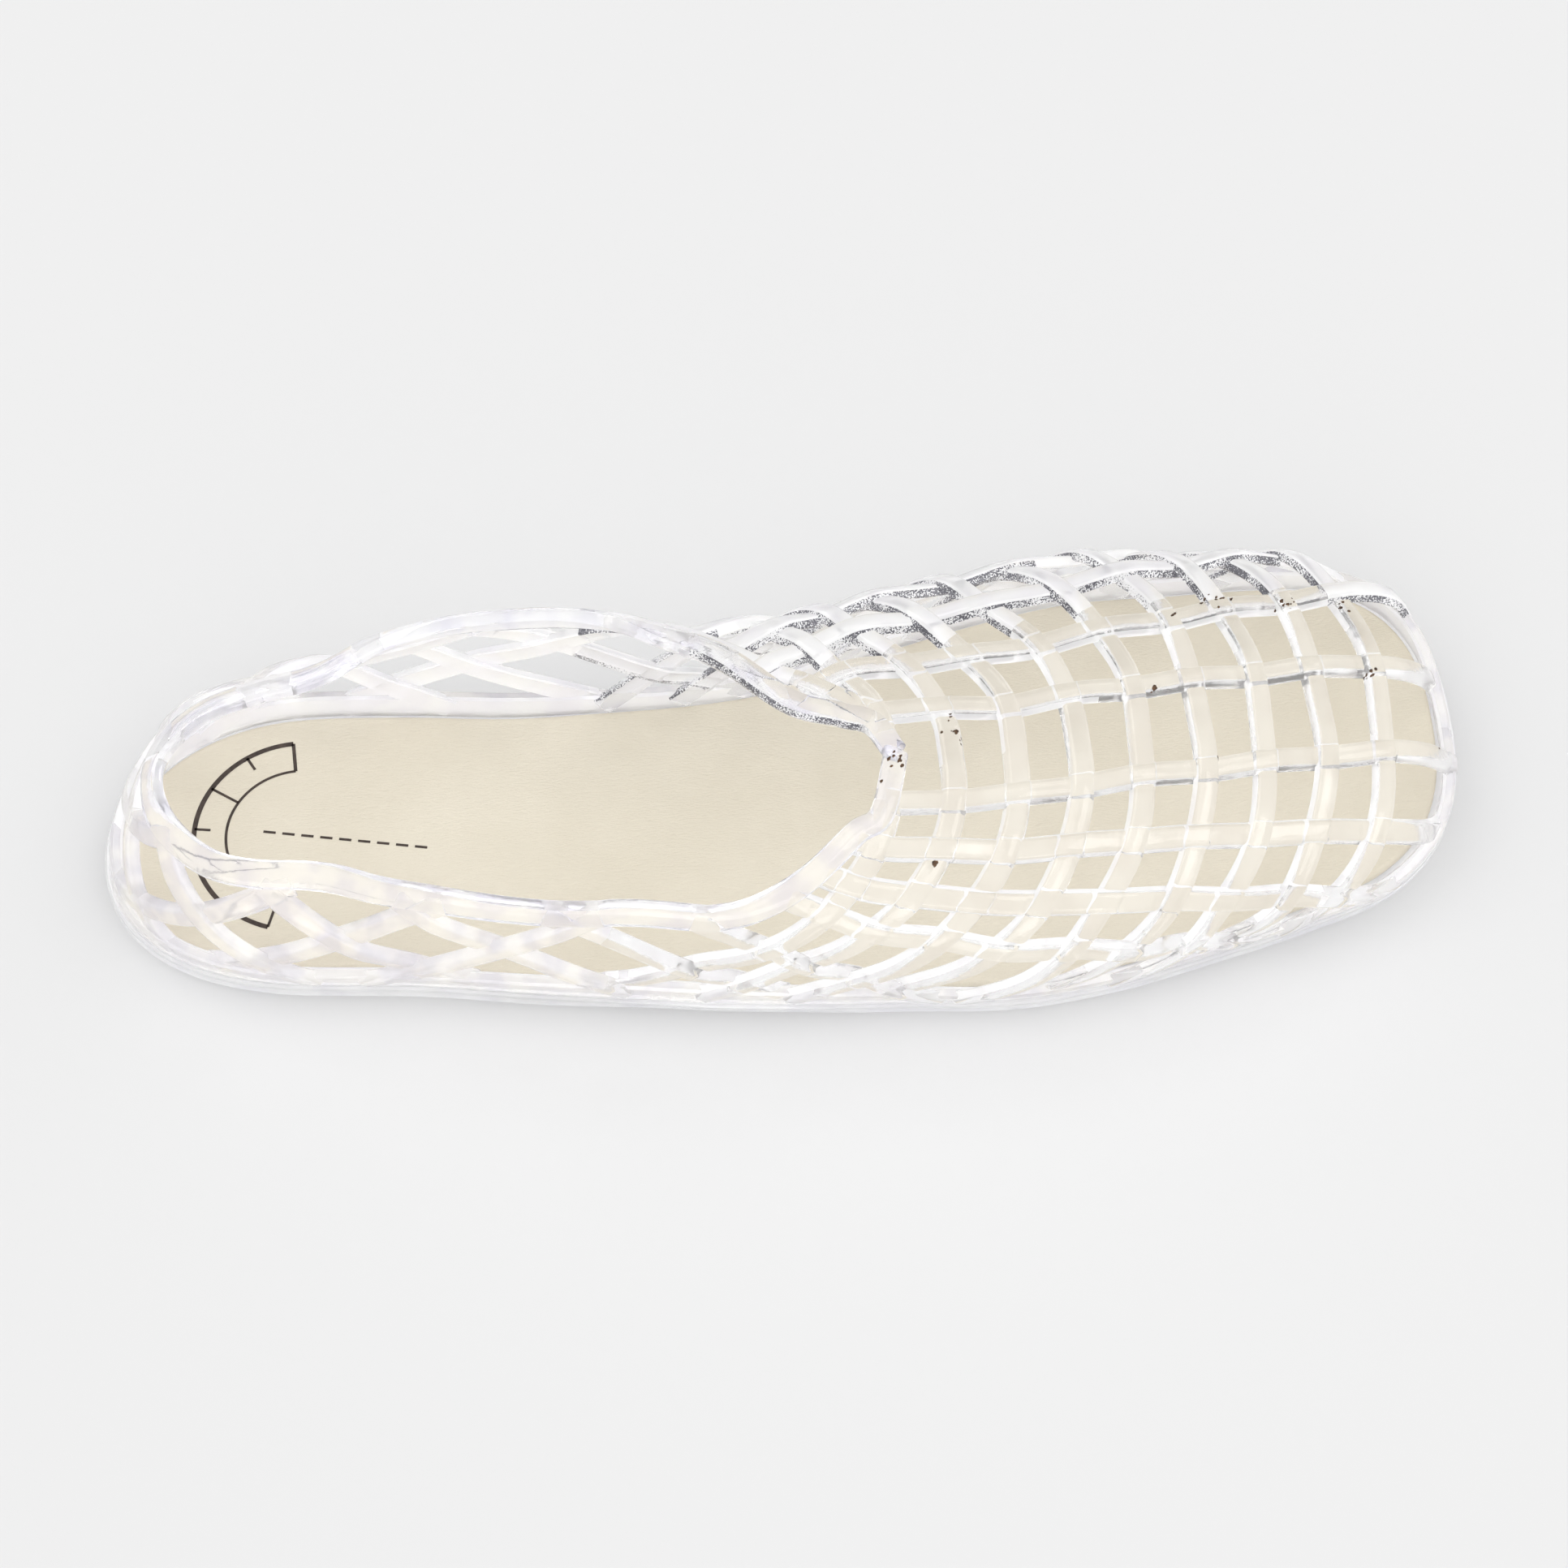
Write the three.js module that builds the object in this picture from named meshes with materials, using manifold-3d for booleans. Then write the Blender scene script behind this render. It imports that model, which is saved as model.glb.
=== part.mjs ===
// A clear moulded slip-on shoe for the right foot, in millimetres: +X to the toe, +Y to the inner
// (medial) side, +Z up, standing on its sole with the back of the heel at x = 0.
// Three pieces: the woven-look upper with its rim, the ribbed outsole and the padded insole.

import * as THREE from 'three';
import { mergeVertices } from 'three/addons/utils/BufferGeometryUtils.js';
import Module from 'manifold-3d';

// Main sizes of the shoe.
const LENGTH = 252;
const BALL_WIDTH = 86;
const INSTEP_HEIGHT = 44;
const COLLAR_DROP = 3;
const COLLAR_HEIGHT = INSTEP_HEIGHT - COLLAR_DROP;
const HEEL_ROUND = 36;
const TOE_ROUND = 40;
const TOE_DROP = 17;
const HEEL_LEAN = 13;
const HEEL_REACH = 29;

// Sole.
const SOLE_HEEL = 6;
const SOLE_BALL = 5;
const TOE_SPRING = 6;
const ARCH_RISE = 2;
const LUG_DEPTH = 1.2;
const LUG_LENGTH = 6;
const LUG_PITCH = 10;
const LUG_INSET = 5;
const SOLE_TUCK = 2.4;
const SOLE_LIP = 0.8;
const GROOVE_DEPTH = 0.7;
// Stretches of the sole, as shares of the length.
const SPRING = { from: 0.74, to: 1.00 };
const TAPER = { from: 0.25, to: 0.60 };
const ARCH = { from: 0.30, full: 0.42, ending: 0.46, to: 0.58 };

// Wall of the upper.
const STRIP_WIDTH = 4.8;
const STRIP_FACE = 3.2;
const STRIP_THICK = 2.2;
const WEAVE_LIFT = 0.45;
const RIM_WIDTH = 5.4;
const RIM_THROAT = 4.6;
const RIM_SEAT = 0.3;
const RIM_THICK = 3.6;
const BAND_HEIGHT = 5;
const BAND_THICK = 2.3;

// Insole.
const INSOLE_THICK = 1.8;
const CLEARANCE = 0.3;

// Net over the forefoot.
const RIDGE_HALF = 9.5;
const ROW_PITCH = 12.5;
const ROW_FAN = 0.0062;
const ROW_EVEN_AT = 0.715;
const CROSS_PITCH = 11.7;
const CROSS_STRAIGHT = 4;
const NET_REAR = 0.575;
const SWEEP = {
  inner: { bow: 0.0165, power: 2, steepest: 0.74 },
  outer: { bow: 0.0112, power: 1, steepest: 1.05 },
};
const NET_ROWS = { inner: 5, outer: 4 };
const NET_CROSSES = 9;
const NET_STEP = 16;
// Diamond net round the heel.
const DIAMOND = 28.5;
const DIAMOND_SLOPE = 0.6;
const SLANTS_BACK = 6;
const SLANTS_FORWARD = 2;
const RIM_STATIONS = 24;
const BAND_STATIONS = 28;
const EDGE_STATIONS = 28;

// Sections of the last: where (share of length), middle line, half width (shares of ball width),
// crest (share of instep height), lean of the crest (share of ball width), squareness of the
// inner and of the outer side.
const SECTIONS = [
  { at: 0.00, middle: 0.030, half: 0.330, crest: 0.80, lean: 0.00, inner: 2.35, outer: 2.35 },
  { at: 0.04, middle: 0.034, half: 0.338, crest: 0.79, lean: 0.00, inner: 2.35, outer: 2.35 },
  { at: 0.10, middle: 0.038, half: 0.348, crest: 0.79, lean: 0.00, inner: 2.35, outer: 2.35 },
  { at: 0.16, middle: 0.031, half: 0.362, crest: 0.87, lean: 0.00, inner: 2.35, outer: 2.20 },
  { at: 0.22, middle: 0.015, half: 0.366, crest: 1.12, lean: 0.00, inner: 2.40, outer: 2.10 },
  { at: 0.32, middle: -0.019, half: 0.370, crest: 1.42, lean: 0.00, inner: 2.60, outer: 2.50 },
  { at: 0.38, middle: -0.032, half: 0.376, crest: 1.16, lean: -0.01, inner: 3.40, outer: 2.90 },
  { at: 0.44, middle: -0.043, half: 0.388, crest: 1.07, lean: -0.03, inner: 4.10, outer: 3.20 },
  { at: 0.50, middle: -0.043, half: 0.408, crest: 1.04, lean: -0.05, inner: 4.30, outer: 2.80 },
  { at: 0.57, middle: -0.020, half: 0.453, crest: 1.01, lean: -0.08, inner: 4.20, outer: 2.35 },
  { at: 0.66, middle: 0.004, half: 0.500, crest: 0.97, lean: -0.10, inner: 3.80, outer: 2.20 },
  { at: 0.73, middle: 0.034, half: 0.508, crest: 0.93, lean: -0.10, inner: 3.40, outer: 2.20 },
  { at: 0.82, middle: 0.065, half: 0.478, crest: 0.83, lean: -0.09, inner: 3.00, outer: 2.20 },
  { at: 0.89, middle: 0.084, half: 0.455, crest: 0.72, lean: -0.07, inner: 2.90, outer: 2.20 },
  { at: 0.94, middle: 0.090, half: 0.458, crest: 0.63, lean: -0.05, inner: 2.80, outer: 2.20 },
  { at: 1.00, middle: 0.095, half: 0.465, crest: 0.54, lean: -0.03, inner: 2.60, outer: 2.20 },
];
const HEEL_RIM = 0.75;
const HEEL_SQUARE = 2.15;
const TOE_SQUARE = 2.5;
const DROP_SQUARE = 2.2;
const TUCK_ANGLE = THREE.MathUtils.degToRad(22);
const WIDEST = 12;
const WIDEST_SHARE = 0.32;

// Height of the rim along the shoe, as a share of the collar height.
const COLLAR = [
  { at: 0.00, inner: 0.80, outer: 0.80 },
  { at: 0.08, inner: 0.76, outer: 0.75 },
  { at: 0.14, inner: 0.80, outer: 0.78 },
  { at: 0.20, inner: 0.90, outer: 0.84 },
  { at: 0.26, inner: 0.98, outer: 0.87 },
  { at: 0.34, inner: 1.00, outer: 0.88 },
  { at: 0.42, inner: 1.00, outer: 0.88 },
  { at: 0.48, inner: 0.99, outer: 0.89 },
  { at: 0.60, inner: 0.97, outer: 0.97 },
];
// Half widths of the opening at the throat, as shares of the ball width.
const THROAT = [
  { at: 0.360, inner: 0.400, outer: 0.420 },
  { at: 0.410, inner: 0.300, outer: 0.400 },
  { at: 0.456, inner: 0.245, outer: 0.370 },
  { at: 0.508, inner: 0.125, outer: 0.285 },
  { at: 0.543, inner: 0.095, outer: 0.190 },
  { at: 0.565, inner: 0.065, outer: 0.130 },
  { at: 0.577, inner: 0.000, outer: 0.000 },
];
const THROAT_END = THROAT[THROAT.length - 1].at;
const THROAT_START = THROAT[0].at;
const THROAT_BLEND = 5;

const INNER = 1;
const OUTER = -1;

function sideName(side) {
  return side > 0 ? 'inner' : 'outer';
}

const wasm = await Module();
wasm.setup();

function clamp01(value) {
  return Math.min(Math.max(value, 0), 1);
}

function smooth(value) {
  const t = clamp01(value);
  return t * t * (3 - 2 * t);
}

// A smooth curve through one column of a table, at a share of the length.
function column(rows, name, at) {
  const last = rows.length - 1;
  const slope = (i) => (rows[i + 1][name] - rows[i][name]) / (rows[i + 1].at - rows[i].at);
  const tangent = (i) => {
    if (i === 0) return slope(0);
    if (i === last) return slope(last - 1);
    const before = rows[i].at - rows[i - 1].at;
    const after = rows[i + 1].at - rows[i].at;
    return (slope(i - 1) * after + slope(i) * before) / (before + after);
  };
  let i = 0;
  while (i < last - 1 && at > rows[i + 1].at) i += 1;
  const step = rows[i + 1].at - rows[i].at;
  const t = clamp01((at - rows[i].at) / step);
  const t2 = t * t;
  const t3 = t2 * t;
  return (2 * t3 - 3 * t2 + 1) * rows[i][name] + (t3 - 2 * t2 + t) * step * tangent(i)
    + (3 * t2 - 2 * t3) * rows[i + 1][name] + (t3 - t2) * step * tangent(i + 1);
}

// Rounding of an end: 0 at the tip, 1 from the full width on.
function rounded(share, power) {
  return (1 - (1 - clamp01(share)) ** power) ** (1 / power);
}

function halfWidth(x) {
  return BALL_WIDTH * column(SECTIONS, 'half', x / LENGTH)
    * rounded(x / HEEL_ROUND, HEEL_SQUARE) * rounded((LENGTH - x) / TOE_ROUND, TOE_SQUARE);
}

function middle(x) {
  return BALL_WIDTH * column(SECTIONS, 'middle', x / LENGTH);
}

// Lower face of the sole without its lugs: flat heel, arch, flat ball, toe spring.
function toeSpring(x) {
  return TOE_SPRING * clamp01((x / LENGTH - SPRING.from) / (SPRING.to - SPRING.from)) ** 2;
}

// How far x has come along a stretch, eased at both of its ends.
function passed(x, from, to) {
  return smooth((x / LENGTH - from) / (to - from));
}

function soleBottom(x) {
  const arch = passed(x, ARCH.from, ARCH.full) * (1 - passed(x, ARCH.ending, ARCH.to));
  return LUG_DEPTH + ARCH_RISE * arch + toeSpring(x);
}

// Top of the sole, where upper and insole sit.
function bed(x) {
  const front = passed(x, TAPER.from, TAPER.to);
  return toeSpring(x) + SOLE_HEEL * (1 - front) + SOLE_BALL * front;
}

function crest(x) {
  const low = bed(x);
  const high = INSTEP_HEIGHT * column(SECTIONS, 'crest', x / LENGTH);
  return low + (high - low) * rounded((LENGTH - x) / TOE_DROP, DROP_SQUARE);
}

// One side of the section at x: points from the bed up to the crest, with their girth.
function section(x, side) {
  const steps = 40;
  const wide = halfWidth(x);
  const low = bed(x);
  const high = crest(x);
  const belly = low + Math.min(WIDEST, WIDEST_SHARE * (high - low));
  const square = column(SECTIONS, sideName(side), x / LENGTH);
  const reach = (c, s) => (Math.abs(c) ** square + Math.abs(s) ** square) ** (-1 / square);
  const tuck = Math.sin(TUCK_ANGLE) * reach(Math.cos(TUCK_ANGLE), Math.sin(TUCK_ANGLE));
  const points = [];
  let girth = 0;
  for (let i = 0; i <= steps; i += 1) {
    const angle = -TUCK_ANGLE + (i / steps) * (Math.PI / 2 + TUCK_ANGLE);
    const c = Math.max(Math.cos(angle), 0);
    const s = Math.sin(angle);
    const k = reach(c, s);
    const rise = s >= 0 ? high - belly : (belly - low) / tuck;
    const y = wide * c * k;
    const z = belly + rise * s * k;
    if (i > 0) girth += Math.hypot(y - points[i - 1].y, z - points[i - 1].z);
    points.push({ y, z, girth });
  }
  return points;
}

// Value of one field of a section at a value of another field that grows along it.
function along(points, key, value, field) {
  let i = 1;
  while (i < points.length - 1 && points[i][key] < value) i += 1;
  const a = points[i - 1];
  const b = points[i];
  const t = clamp01((value - a[key]) / Math.max(b[key] - a[key], 1e-9));
  return a[field] + (b[field] - a[field]) * t;
}

function girthOf(x, side) {
  const points = section(x, side);
  return points[points.length - 1].girth;
}

// Point of the upper's outer face at x, on a side, a girth w up from the bed.
function place(x, side, w) {
  const points = section(x, side);
  const y = along(points, 'girth', w, 'y');
  const z = along(points, 'girth', w, 'z');
  const low = bed(x);
  const rise = clamp01((z - low) / Math.max(crest(x) - low, 1e-3));
  const lean = BALL_WIDTH * column(SECTIONS, 'lean', x / LENGTH) * rise ** 1.5;
  const height = Math.max(z - low, 0) / (COLLAR_HEIGHT * HEEL_RIM);
  const forward = HEEL_LEAN * height ** 1.5 * Math.exp(-x / HEEL_REACH);
  return new THREE.Vector3(x + forward, middle(x) + side * y + lean, z);
}

// Girth up from the bed at which the rim runs.
function collarGirth(x, side) {
  const points = section(x, side);
  const height = COLLAR_HEIGHT * column(COLLAR, sideName(side), x / LENGTH);
  const byHeight = along(points, 'z', height, 'girth');
  if (x / LENGTH < THROAT_START) return byHeight;
  const half = BALL_WIDTH * column(THROAT, sideName(side), x / LENGTH);
  const widest = points.reduce((best, p, i) => (p.y > points[best].y ? i : best), 0);
  const top = points.slice(widest).map(({ y, girth }) => ({ fromSide: points[widest].y - y, girth }));
  const inward = points[widest].y - half;
  const byHalf = inward > 0 ? along(top, 'fromSide', inward, 'girth') : top[0].girth + 2 * inward;
  return Math.min((byHeight + byHalf + Math.hypot(byHeight - byHalf, THROAT_BLEND)) / 2,
    points[points.length - 1].girth);
}

// Length round the sole's edge from the back of the heel to x, on one side.
const EDGE = [OUTER, INNER].map((side) => {
  const list = [{ x: 0, s: 0 }];
  let before = place(0, side, 0);
  for (let i = 1; i <= 200; i += 1) {
    const x = LENGTH * (1 - Math.cos((Math.PI * i) / 200)) / 2;
    const point = place(x, side, 0);
    list.push({ x, s: list[i - 1].s + Math.hypot(point.x - before.x, point.y - before.y) });
    before = point;
  }
  return list;
});

function edgeLength(x, side) {
  return along(EDGE[side > 0 ? 1 : 0], 'x', x, 's');
}

function edgeX(s, side) {
  return along(EDGE[side > 0 ? 1 : 0], 's', s, 'x');
}

// Outward normal of the upper's face.
function normalAt(x, side, w) {
  const dx = Math.min(1.5, Math.max(0.05, Math.min(x, LENGTH - x) * 0.3));
  const x0 = Math.max(x - dx, 0.001);
  const x1 = Math.min(x + dx, LENGTH - 0.001);
  const girth = girthOf(x, side);
  const w0 = Math.max(w - 0.8, 0);
  const w1 = Math.min(w + 0.8, girth);
  const share = girth > 0 ? w / girth : 0;
  const behind = place(x0, side, share * girthOf(x0, side));
  const forward = place(x1, side, share * girthOf(x1, side)).sub(behind);
  const up = place(x, side, w1).sub(place(x, side, w0));
  if (up.length() < 1e-6) up.set(0, 0, 1);
  return up.cross(forward).multiplyScalar(side).normalize();
}

// A stop of a strip: where it lies on the upper.
function stop(x, side, w) {
  return { x, side, w, s: edgeLength(x, side) };
}

function rowGap(x) {
  return ROW_PITCH * (1 + ROW_FAN * (x - ROW_EVEN_AT * LENGTH));
}

// One lengthwise strip from the toe back to the rim: row 0 borders the ridge.
function rowStrip(side, row) {
  const bend = NET_REAR * LENGTH;
  const height = (x) => girthOf(x, side) - RIDGE_HALF - row * rowGap(x);
  const stops = [];
  const count = 60;
  for (let i = 1; i <= count; i += 1) {
    const x = LENGTH - (LENGTH - bend) * (1 - Math.cos((Math.PI / 2) * (i / count)));
    const w = height(x);
    if (w > 0) stops.push(stop(x, side, w));
  }
  if (stops.length === 0) return stops;
  if (stops[stops.length - 1].x > bend + 1e-6) return stops;
  const step = 3;
  const first = clamp01((height(bend) - height(bend + step)) / step + 0.05);
  let w = height(bend);
  for (let x = bend - step; x > LENGTH * 0.1; x -= step) {
    const turn = smooth((bend - x) / (LENGTH * 0.1));
    w += step * (first + (DIAMOND_SLOPE - first) * turn);
    stops.push(stop(x, side, w));
    if (w > collarGirth(x, side) + STRIP_WIDTH) break;
  }
  return stops;
}

// One crosswise strip over the ridge, from foot to foot: swept back down each side until it has
// the slant of the diamond net.
function crossStrip(number) {
  const top = THROAT_END * LENGTH - STRIP_WIDTH / 3 + number * CROSS_PITCH;
  const growth = 0.75 + 0.0125 * Math.max(0.8 * LENGTH - top, 0);
  const half = (side) => {
    const { bow, power, steepest } = side > 0 ? SWEEP.inner : SWEEP.outer;
    const bend = bow * growth ** power;
    const limit = steepest * Math.min(Math.max(growth, 1), 1.2);
    const turned = limit / (2 * bend);
    const stops = [];
    let x = top;
    let w = girthOf(x, side);
    for (let g = 0; w > 0; g += 2) {
      const past = Math.max(g - CROSS_STRAIGHT, 0);
      const bent = Math.min(past, turned);
      x = top - bend * bent * bent - limit * (past - bent);
      const next = girthOf(x, side) - g;
      if (g > 0 && w - next < 1) break;
      w = next;
      if (w > 0) stops.push(stop(x, side, w));
    }
    for (let down = 1; w - down > 0; down += 1) {
      x -= limit;
      stops.push(stop(x, side, w - down));
    }
    return stops;
  };
  return half(OUTER).reverse().concat(half(INNER).slice(1));
}

// One slanting strip of the diamond net: foot at sigma, rising to the inner side (rise 1) or to
// the outer side (rise -1); sigma is the edge length from the heel, negative on the outer side.
function slantStrip(foot, rise) {
  const stops = [];
  const step = 2.5;
  for (let i = 0; i < 80; i += 1) {
    const w = i * step * DIAMOND_SLOPE;
    const sigma = foot + rise * i * step;
    const side = sigma < 0 ? OUTER : INNER;
    const x = edgeX(Math.abs(sigma), side);
    stops.push(stop(Math.max(x, 0.02), side, w));
    if (w > Math.min(collarGirth(x, side) + STRIP_WIDTH, girthOf(x, side) - RIDGE_HALF)) break;
  }
  return stops;
}

// Whether a stop lies between the sole's edge and the rim, where the net is.
function inNet(p) {
  if (p.w < BAND_HEIGHT / 2) return false;
  return p.x / LENGTH > THROAT_END || p.w < collarGirth(p.x, p.side) - RIM_WIDTH * RIM_SEAT;
}

// The last stop in the net on the way from a stop in it to one past its end.
function endStop(last, past) {
  if (last.side !== past.side) return [];
  const part = (t) => stop(last.x + (past.x - last.x) * t, last.side, last.w + (past.w - last.w) * t);
  let reached = 0;
  for (let step = 0.5; step > 0.01; step /= 2) {
    if (inNet(part(reached + step))) reached += step;
  }
  return reached > 0.05 ? [part(reached)] : [];
}

// The parts of a strip that lie in the net.
function trimmed(stops) {
  const runs = [];
  let run = [];
  stops.forEach((p, i) => {
    if (inNet(p)) {
      if (run.length === 0 && i > 0) run.push(...endStop(p, stops[i - 1]));
      run.push(p);
    } else if (run.length) {
      runs.push(run.concat(endStop(run[run.length - 1], p)));
      run = [];
    }
  });
  if (run.length) runs.push(run);
  return runs.filter((r) => r.length > 2);
}

// All strips of the net, each as its stops from the sole's edge to the rim or to the other edge.
function netStrips() {
  const strips = { along: [], across: [] };
  const keep = (family, stops) => trimmed(stops).forEach((run) => strips[family].push(run));
  [OUTER, INNER].forEach((side) => {
    const rows = side > 0 ? NET_ROWS.inner : NET_ROWS.outer;
    for (let row = 0; row < rows; row += 1) keep('along', rowStrip(side, row));
    for (let k = 0; k <= SLANTS_BACK; k += 1) keep('along', slantStrip(side * k * DIAMOND, -side));
    for (let k = 1; k <= SLANTS_FORWARD; k += 1) keep('across', slantStrip(side * k * DIAMOND, side));
  });
  for (let number = 0; number < NET_CROSSES; number += 1) keep('across', crossStrip(number));
  return strips;
}

// Where two strips cross, as the places of the crossing along each.
function meeting(a, b) {
  const flat = (p) => [p.s, p.w];
  for (let i = 1; i < a.length; i += 1) {
    if (a[i].side !== a[i - 1].side) continue;
    for (let j = 1; j < b.length; j += 1) {
      if (b[j].side !== b[j - 1].side || a[i].side !== b[j].side) continue;
      const [ax, ay] = flat(a[i - 1]);
      const [bx, by] = flat(a[i]);
      const [cx, cy] = flat(b[j - 1]);
      const [dx, dy] = flat(b[j]);
      const det = (bx - ax) * (dy - cy) - (by - ay) * (dx - cx);
      if (Math.abs(det) < 1e-9) continue;
      const t = ((cx - ax) * (dy - cy) - (cy - ay) * (dx - cx)) / det;
      const u = ((cx - ax) * (by - ay) - (cy - ay) * (bx - ax)) / det;
      if (t >= 0 && t < 1 && u >= 0 && u < 1) return [i - 1 + t, j - 1 + u];
    }
  }
  return null;
}

// Marks on each strip: where it passes over (lift 1) or under (lift -1) another.
function weave({ along: rows, across: crosses }) {
  const marks = new Map([...rows, ...crosses].map((strip) => [strip, []]));
  rows.forEach((row) => crosses.forEach((cross) => {
    const met = meeting(row, cross);
    if (!met) return;
    marks.get(row).push({ at: met[0], other: cross });
    marks.get(cross).push({ at: met[1], other: row });
  }));
  marks.forEach((list) => list.sort((a, b) => a.at - b.at));
  const lifts = new Map();
  const key = (row, cross) => `${rows.indexOf(row)}:${crosses.indexOf(cross)}`;
  rows.forEach((row, r) => marks.get(row).forEach((mark, i) => {
    lifts.set(key(row, mark.other), (i + r) % 2 === 0 ? 1 : -1);
  }));
  rows.forEach((row) => marks.get(row).forEach((mark) => {
    mark.lift = lifts.get(key(row, mark.other));
  }));
  crosses.forEach((cross) => marks.get(cross).forEach((mark) => {
    mark.lift = -lifts.get(key(mark.other, cross));
  }));
  return marks;
}

// Stop part of the way between the stops of a strip.
function between(strip, at) {
  const i = Math.min(Math.floor(at), strip.length - 2);
  const t = at - i;
  const a = strip[i];
  const b = strip[i + 1];
  if (a.side !== b.side) return t < 0.5 ? a : b;
  return { x: a.x + (b.x - a.x) * t, side: a.side, w: a.w + (b.w - a.w) * t };
}

// Closed loft through rings of points, with flat ends, or joined end to end.
function loft(rings, closed) {
  const count = rings[0].length;
  const positions = rings.flat().flatMap((p) => [p.x, p.y, p.z]);
  const index = [];
  const last = closed ? rings.length : rings.length - 1;
  for (let i = 0; i < last; i += 1) {
    const here = i * count;
    const next = ((i + 1) % rings.length) * count;
    for (let j = 0; j < count; j += 1) {
      const k = (j + 1) % count;
      index.push(here + j, here + k, next + k, here + j, next + k, next + j);
    }
  }
  if (!closed) {
    const end = (rings.length - 1) * count;
    for (let j = 1; j < count - 1; j += 1) {
      index.push(0, j + 1, j, end, end + j, end + j + 1);
    }
  }
  const geometry = new THREE.BufferGeometry();
  geometry.setAttribute('position', new THREE.Float32BufferAttribute(positions, 3));
  geometry.setIndex(index);
  return geometry;
}

// A closed geometry as a solid for joining and cutting.
function solid(geometry) {
  const bare = geometry.clone();
  bare.deleteAttribute('normal');
  bare.deleteAttribute('uv');
  const merged = mergeVertices(bare, 1e-4);
  const made = new wasm.Manifold(new wasm.Mesh({
    numProp: 3,
    vertProperties: merged.attributes.position.array,
    triVerts: new Uint32Array(merged.index.array),
  }));
  if (made.volume() >= 0) return made;
  const turned = merged.index.array.slice().reverse();
  return new wasm.Manifold(new wasm.Mesh({
    numProp: 3,
    vertProperties: merged.attributes.position.array,
    triVerts: new Uint32Array(turned),
  }));
}

function geometryOf(made) {
  const mesh = made.getMesh();
  const geometry = new THREE.BufferGeometry();
  geometry.setAttribute('position', new THREE.Float32BufferAttribute(mesh.vertProperties, 3));
  geometry.setIndex(Array.from(mesh.triVerts));
  geometry.computeVertexNormals();
  return geometry;
}

// Rings of a profile carried along points of the upper's face. The profile is given as
// [across, out] pairs; out 0 is the outer face.
function sweep(frames, profile, closed) {
  const count = frames.length;
  return frames.map(({ point, normal, wide = 1 }, i) => {
    const before = frames[closed ? (i + count - 1) % count : Math.max(i - 1, 0)].point;
    const after = frames[closed ? (i + 1) % count : Math.min(i + 1, count - 1)].point;
    const ahead = after.clone().sub(before).normalize();
    const across = new THREE.Vector3().crossVectors(ahead, normal).normalize();
    return profile.map(([a, o]) => (
      point.clone().addScaledVector(across, a * wide).addScaledVector(normal, o)));
  });
}

function frameAt({ x, side, w }, out) {
  const point = place(x, side, w);
  const normal = normalAt(x, side, w);
  return { point: point.addScaledVector(normal, out), normal };
}

// One strip of the net as a solid: a flat-faced bar with bevelled sides that dips and rises.
function stripSolid(strip, marks) {
  const places = new Set([0, strip.length - 1]);
  marks.forEach((mark) => places.add(mark.at));
  const knots = [...places].sort((a, b) => a - b);
  const at = [];
  knots.forEach((knot, i) => {
    at.push(knot);
    if (i === knots.length - 1) return;
    const parts = Math.max(1, Math.round(distance(strip, knot, knots[i + 1]) / NET_STEP));
    for (let k = 1; k < parts; k += 1) at.push(knot + ((knots[i + 1] - knot) * k) / parts);
  });
  const lift = (value) => {
    const after = marks.findIndex((mark) => mark.at >= value);
    if (marks.length === 0) return 0;
    if (after === 0) return marks[0].lift;
    if (after < 0) return marks[marks.length - 1].lift;
    const a = marks[after - 1];
    const b = marks[after];
    return a.lift + (b.lift - a.lift) * smooth((value - a.at) / Math.max(b.at - a.at, 1e-6));
  };
  const frames = at.map((value) => frameAt(between(strip, value), WEAVE_LIFT * lift(value)));
  const base = STRIP_WIDTH / 2;
  const face = STRIP_FACE / 2;
  const deep = -STRIP_THICK;
  return solid(loft(sweep(frames, [[-base, deep], [base, deep], [face, 0], [-face, 0]], false), false));
}

function distance(strip, from, to) {
  const steps = 6;
  let sum = 0;
  let before = null;
  for (let i = 0; i <= steps; i += 1) {
    const p = between(strip, from + ((to - from) * i) / steps);
    const point = place(p.x, p.side, p.w);
    if (before) sum += point.distanceTo(before);
    before = point;
  }
  return sum;
}

// Stations along the shoe, closer together at both ends.
function stations(count, end) {
  return Array.from({ length: count + 1 }, (_, i) => end * (1 - Math.cos((Math.PI * i) / count)) / 2);
}

// Stops round the whole shoe: forward on the outer side, back on the inner side.
function loop(count, end, girth) {
  const list = stations(count, end);
  const stops = (side, xs) => xs.map((x) => ({ x, side, w: girth(x, side) }));
  const near = Math.min(0.02, end);
  list[0] = near;
  list[count] = end - near;
  return stops(OUTER, list.slice()).concat(stops(INNER, list.slice(1, count).reverse()));
}

function rimSolid() {
  const stops = loop(RIM_STATIONS, THROAT_END * LENGTH, collarGirth);
  const narrow = 1 - RIM_THROAT / RIM_WIDTH;
  const frames = stops.map((p) => (
    { ...frameAt(p, 0), wide: 1 - narrow * passed(p.x, THROAT_START, THROAT_END) }));
  const wide = RIM_WIDTH / 2;
  const flat = wide * 0.5;
  const out = RIM_THICK - STRIP_THICK;
  const level = out - RIM_THICK / 2;
  const profile = [[-wide, level], [-flat, -STRIP_THICK], [flat, -STRIP_THICK],
    [wide, level], [flat, out], [-flat, out]];
  return solid(loft(sweep(frames, profile, true), true));
}

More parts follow.
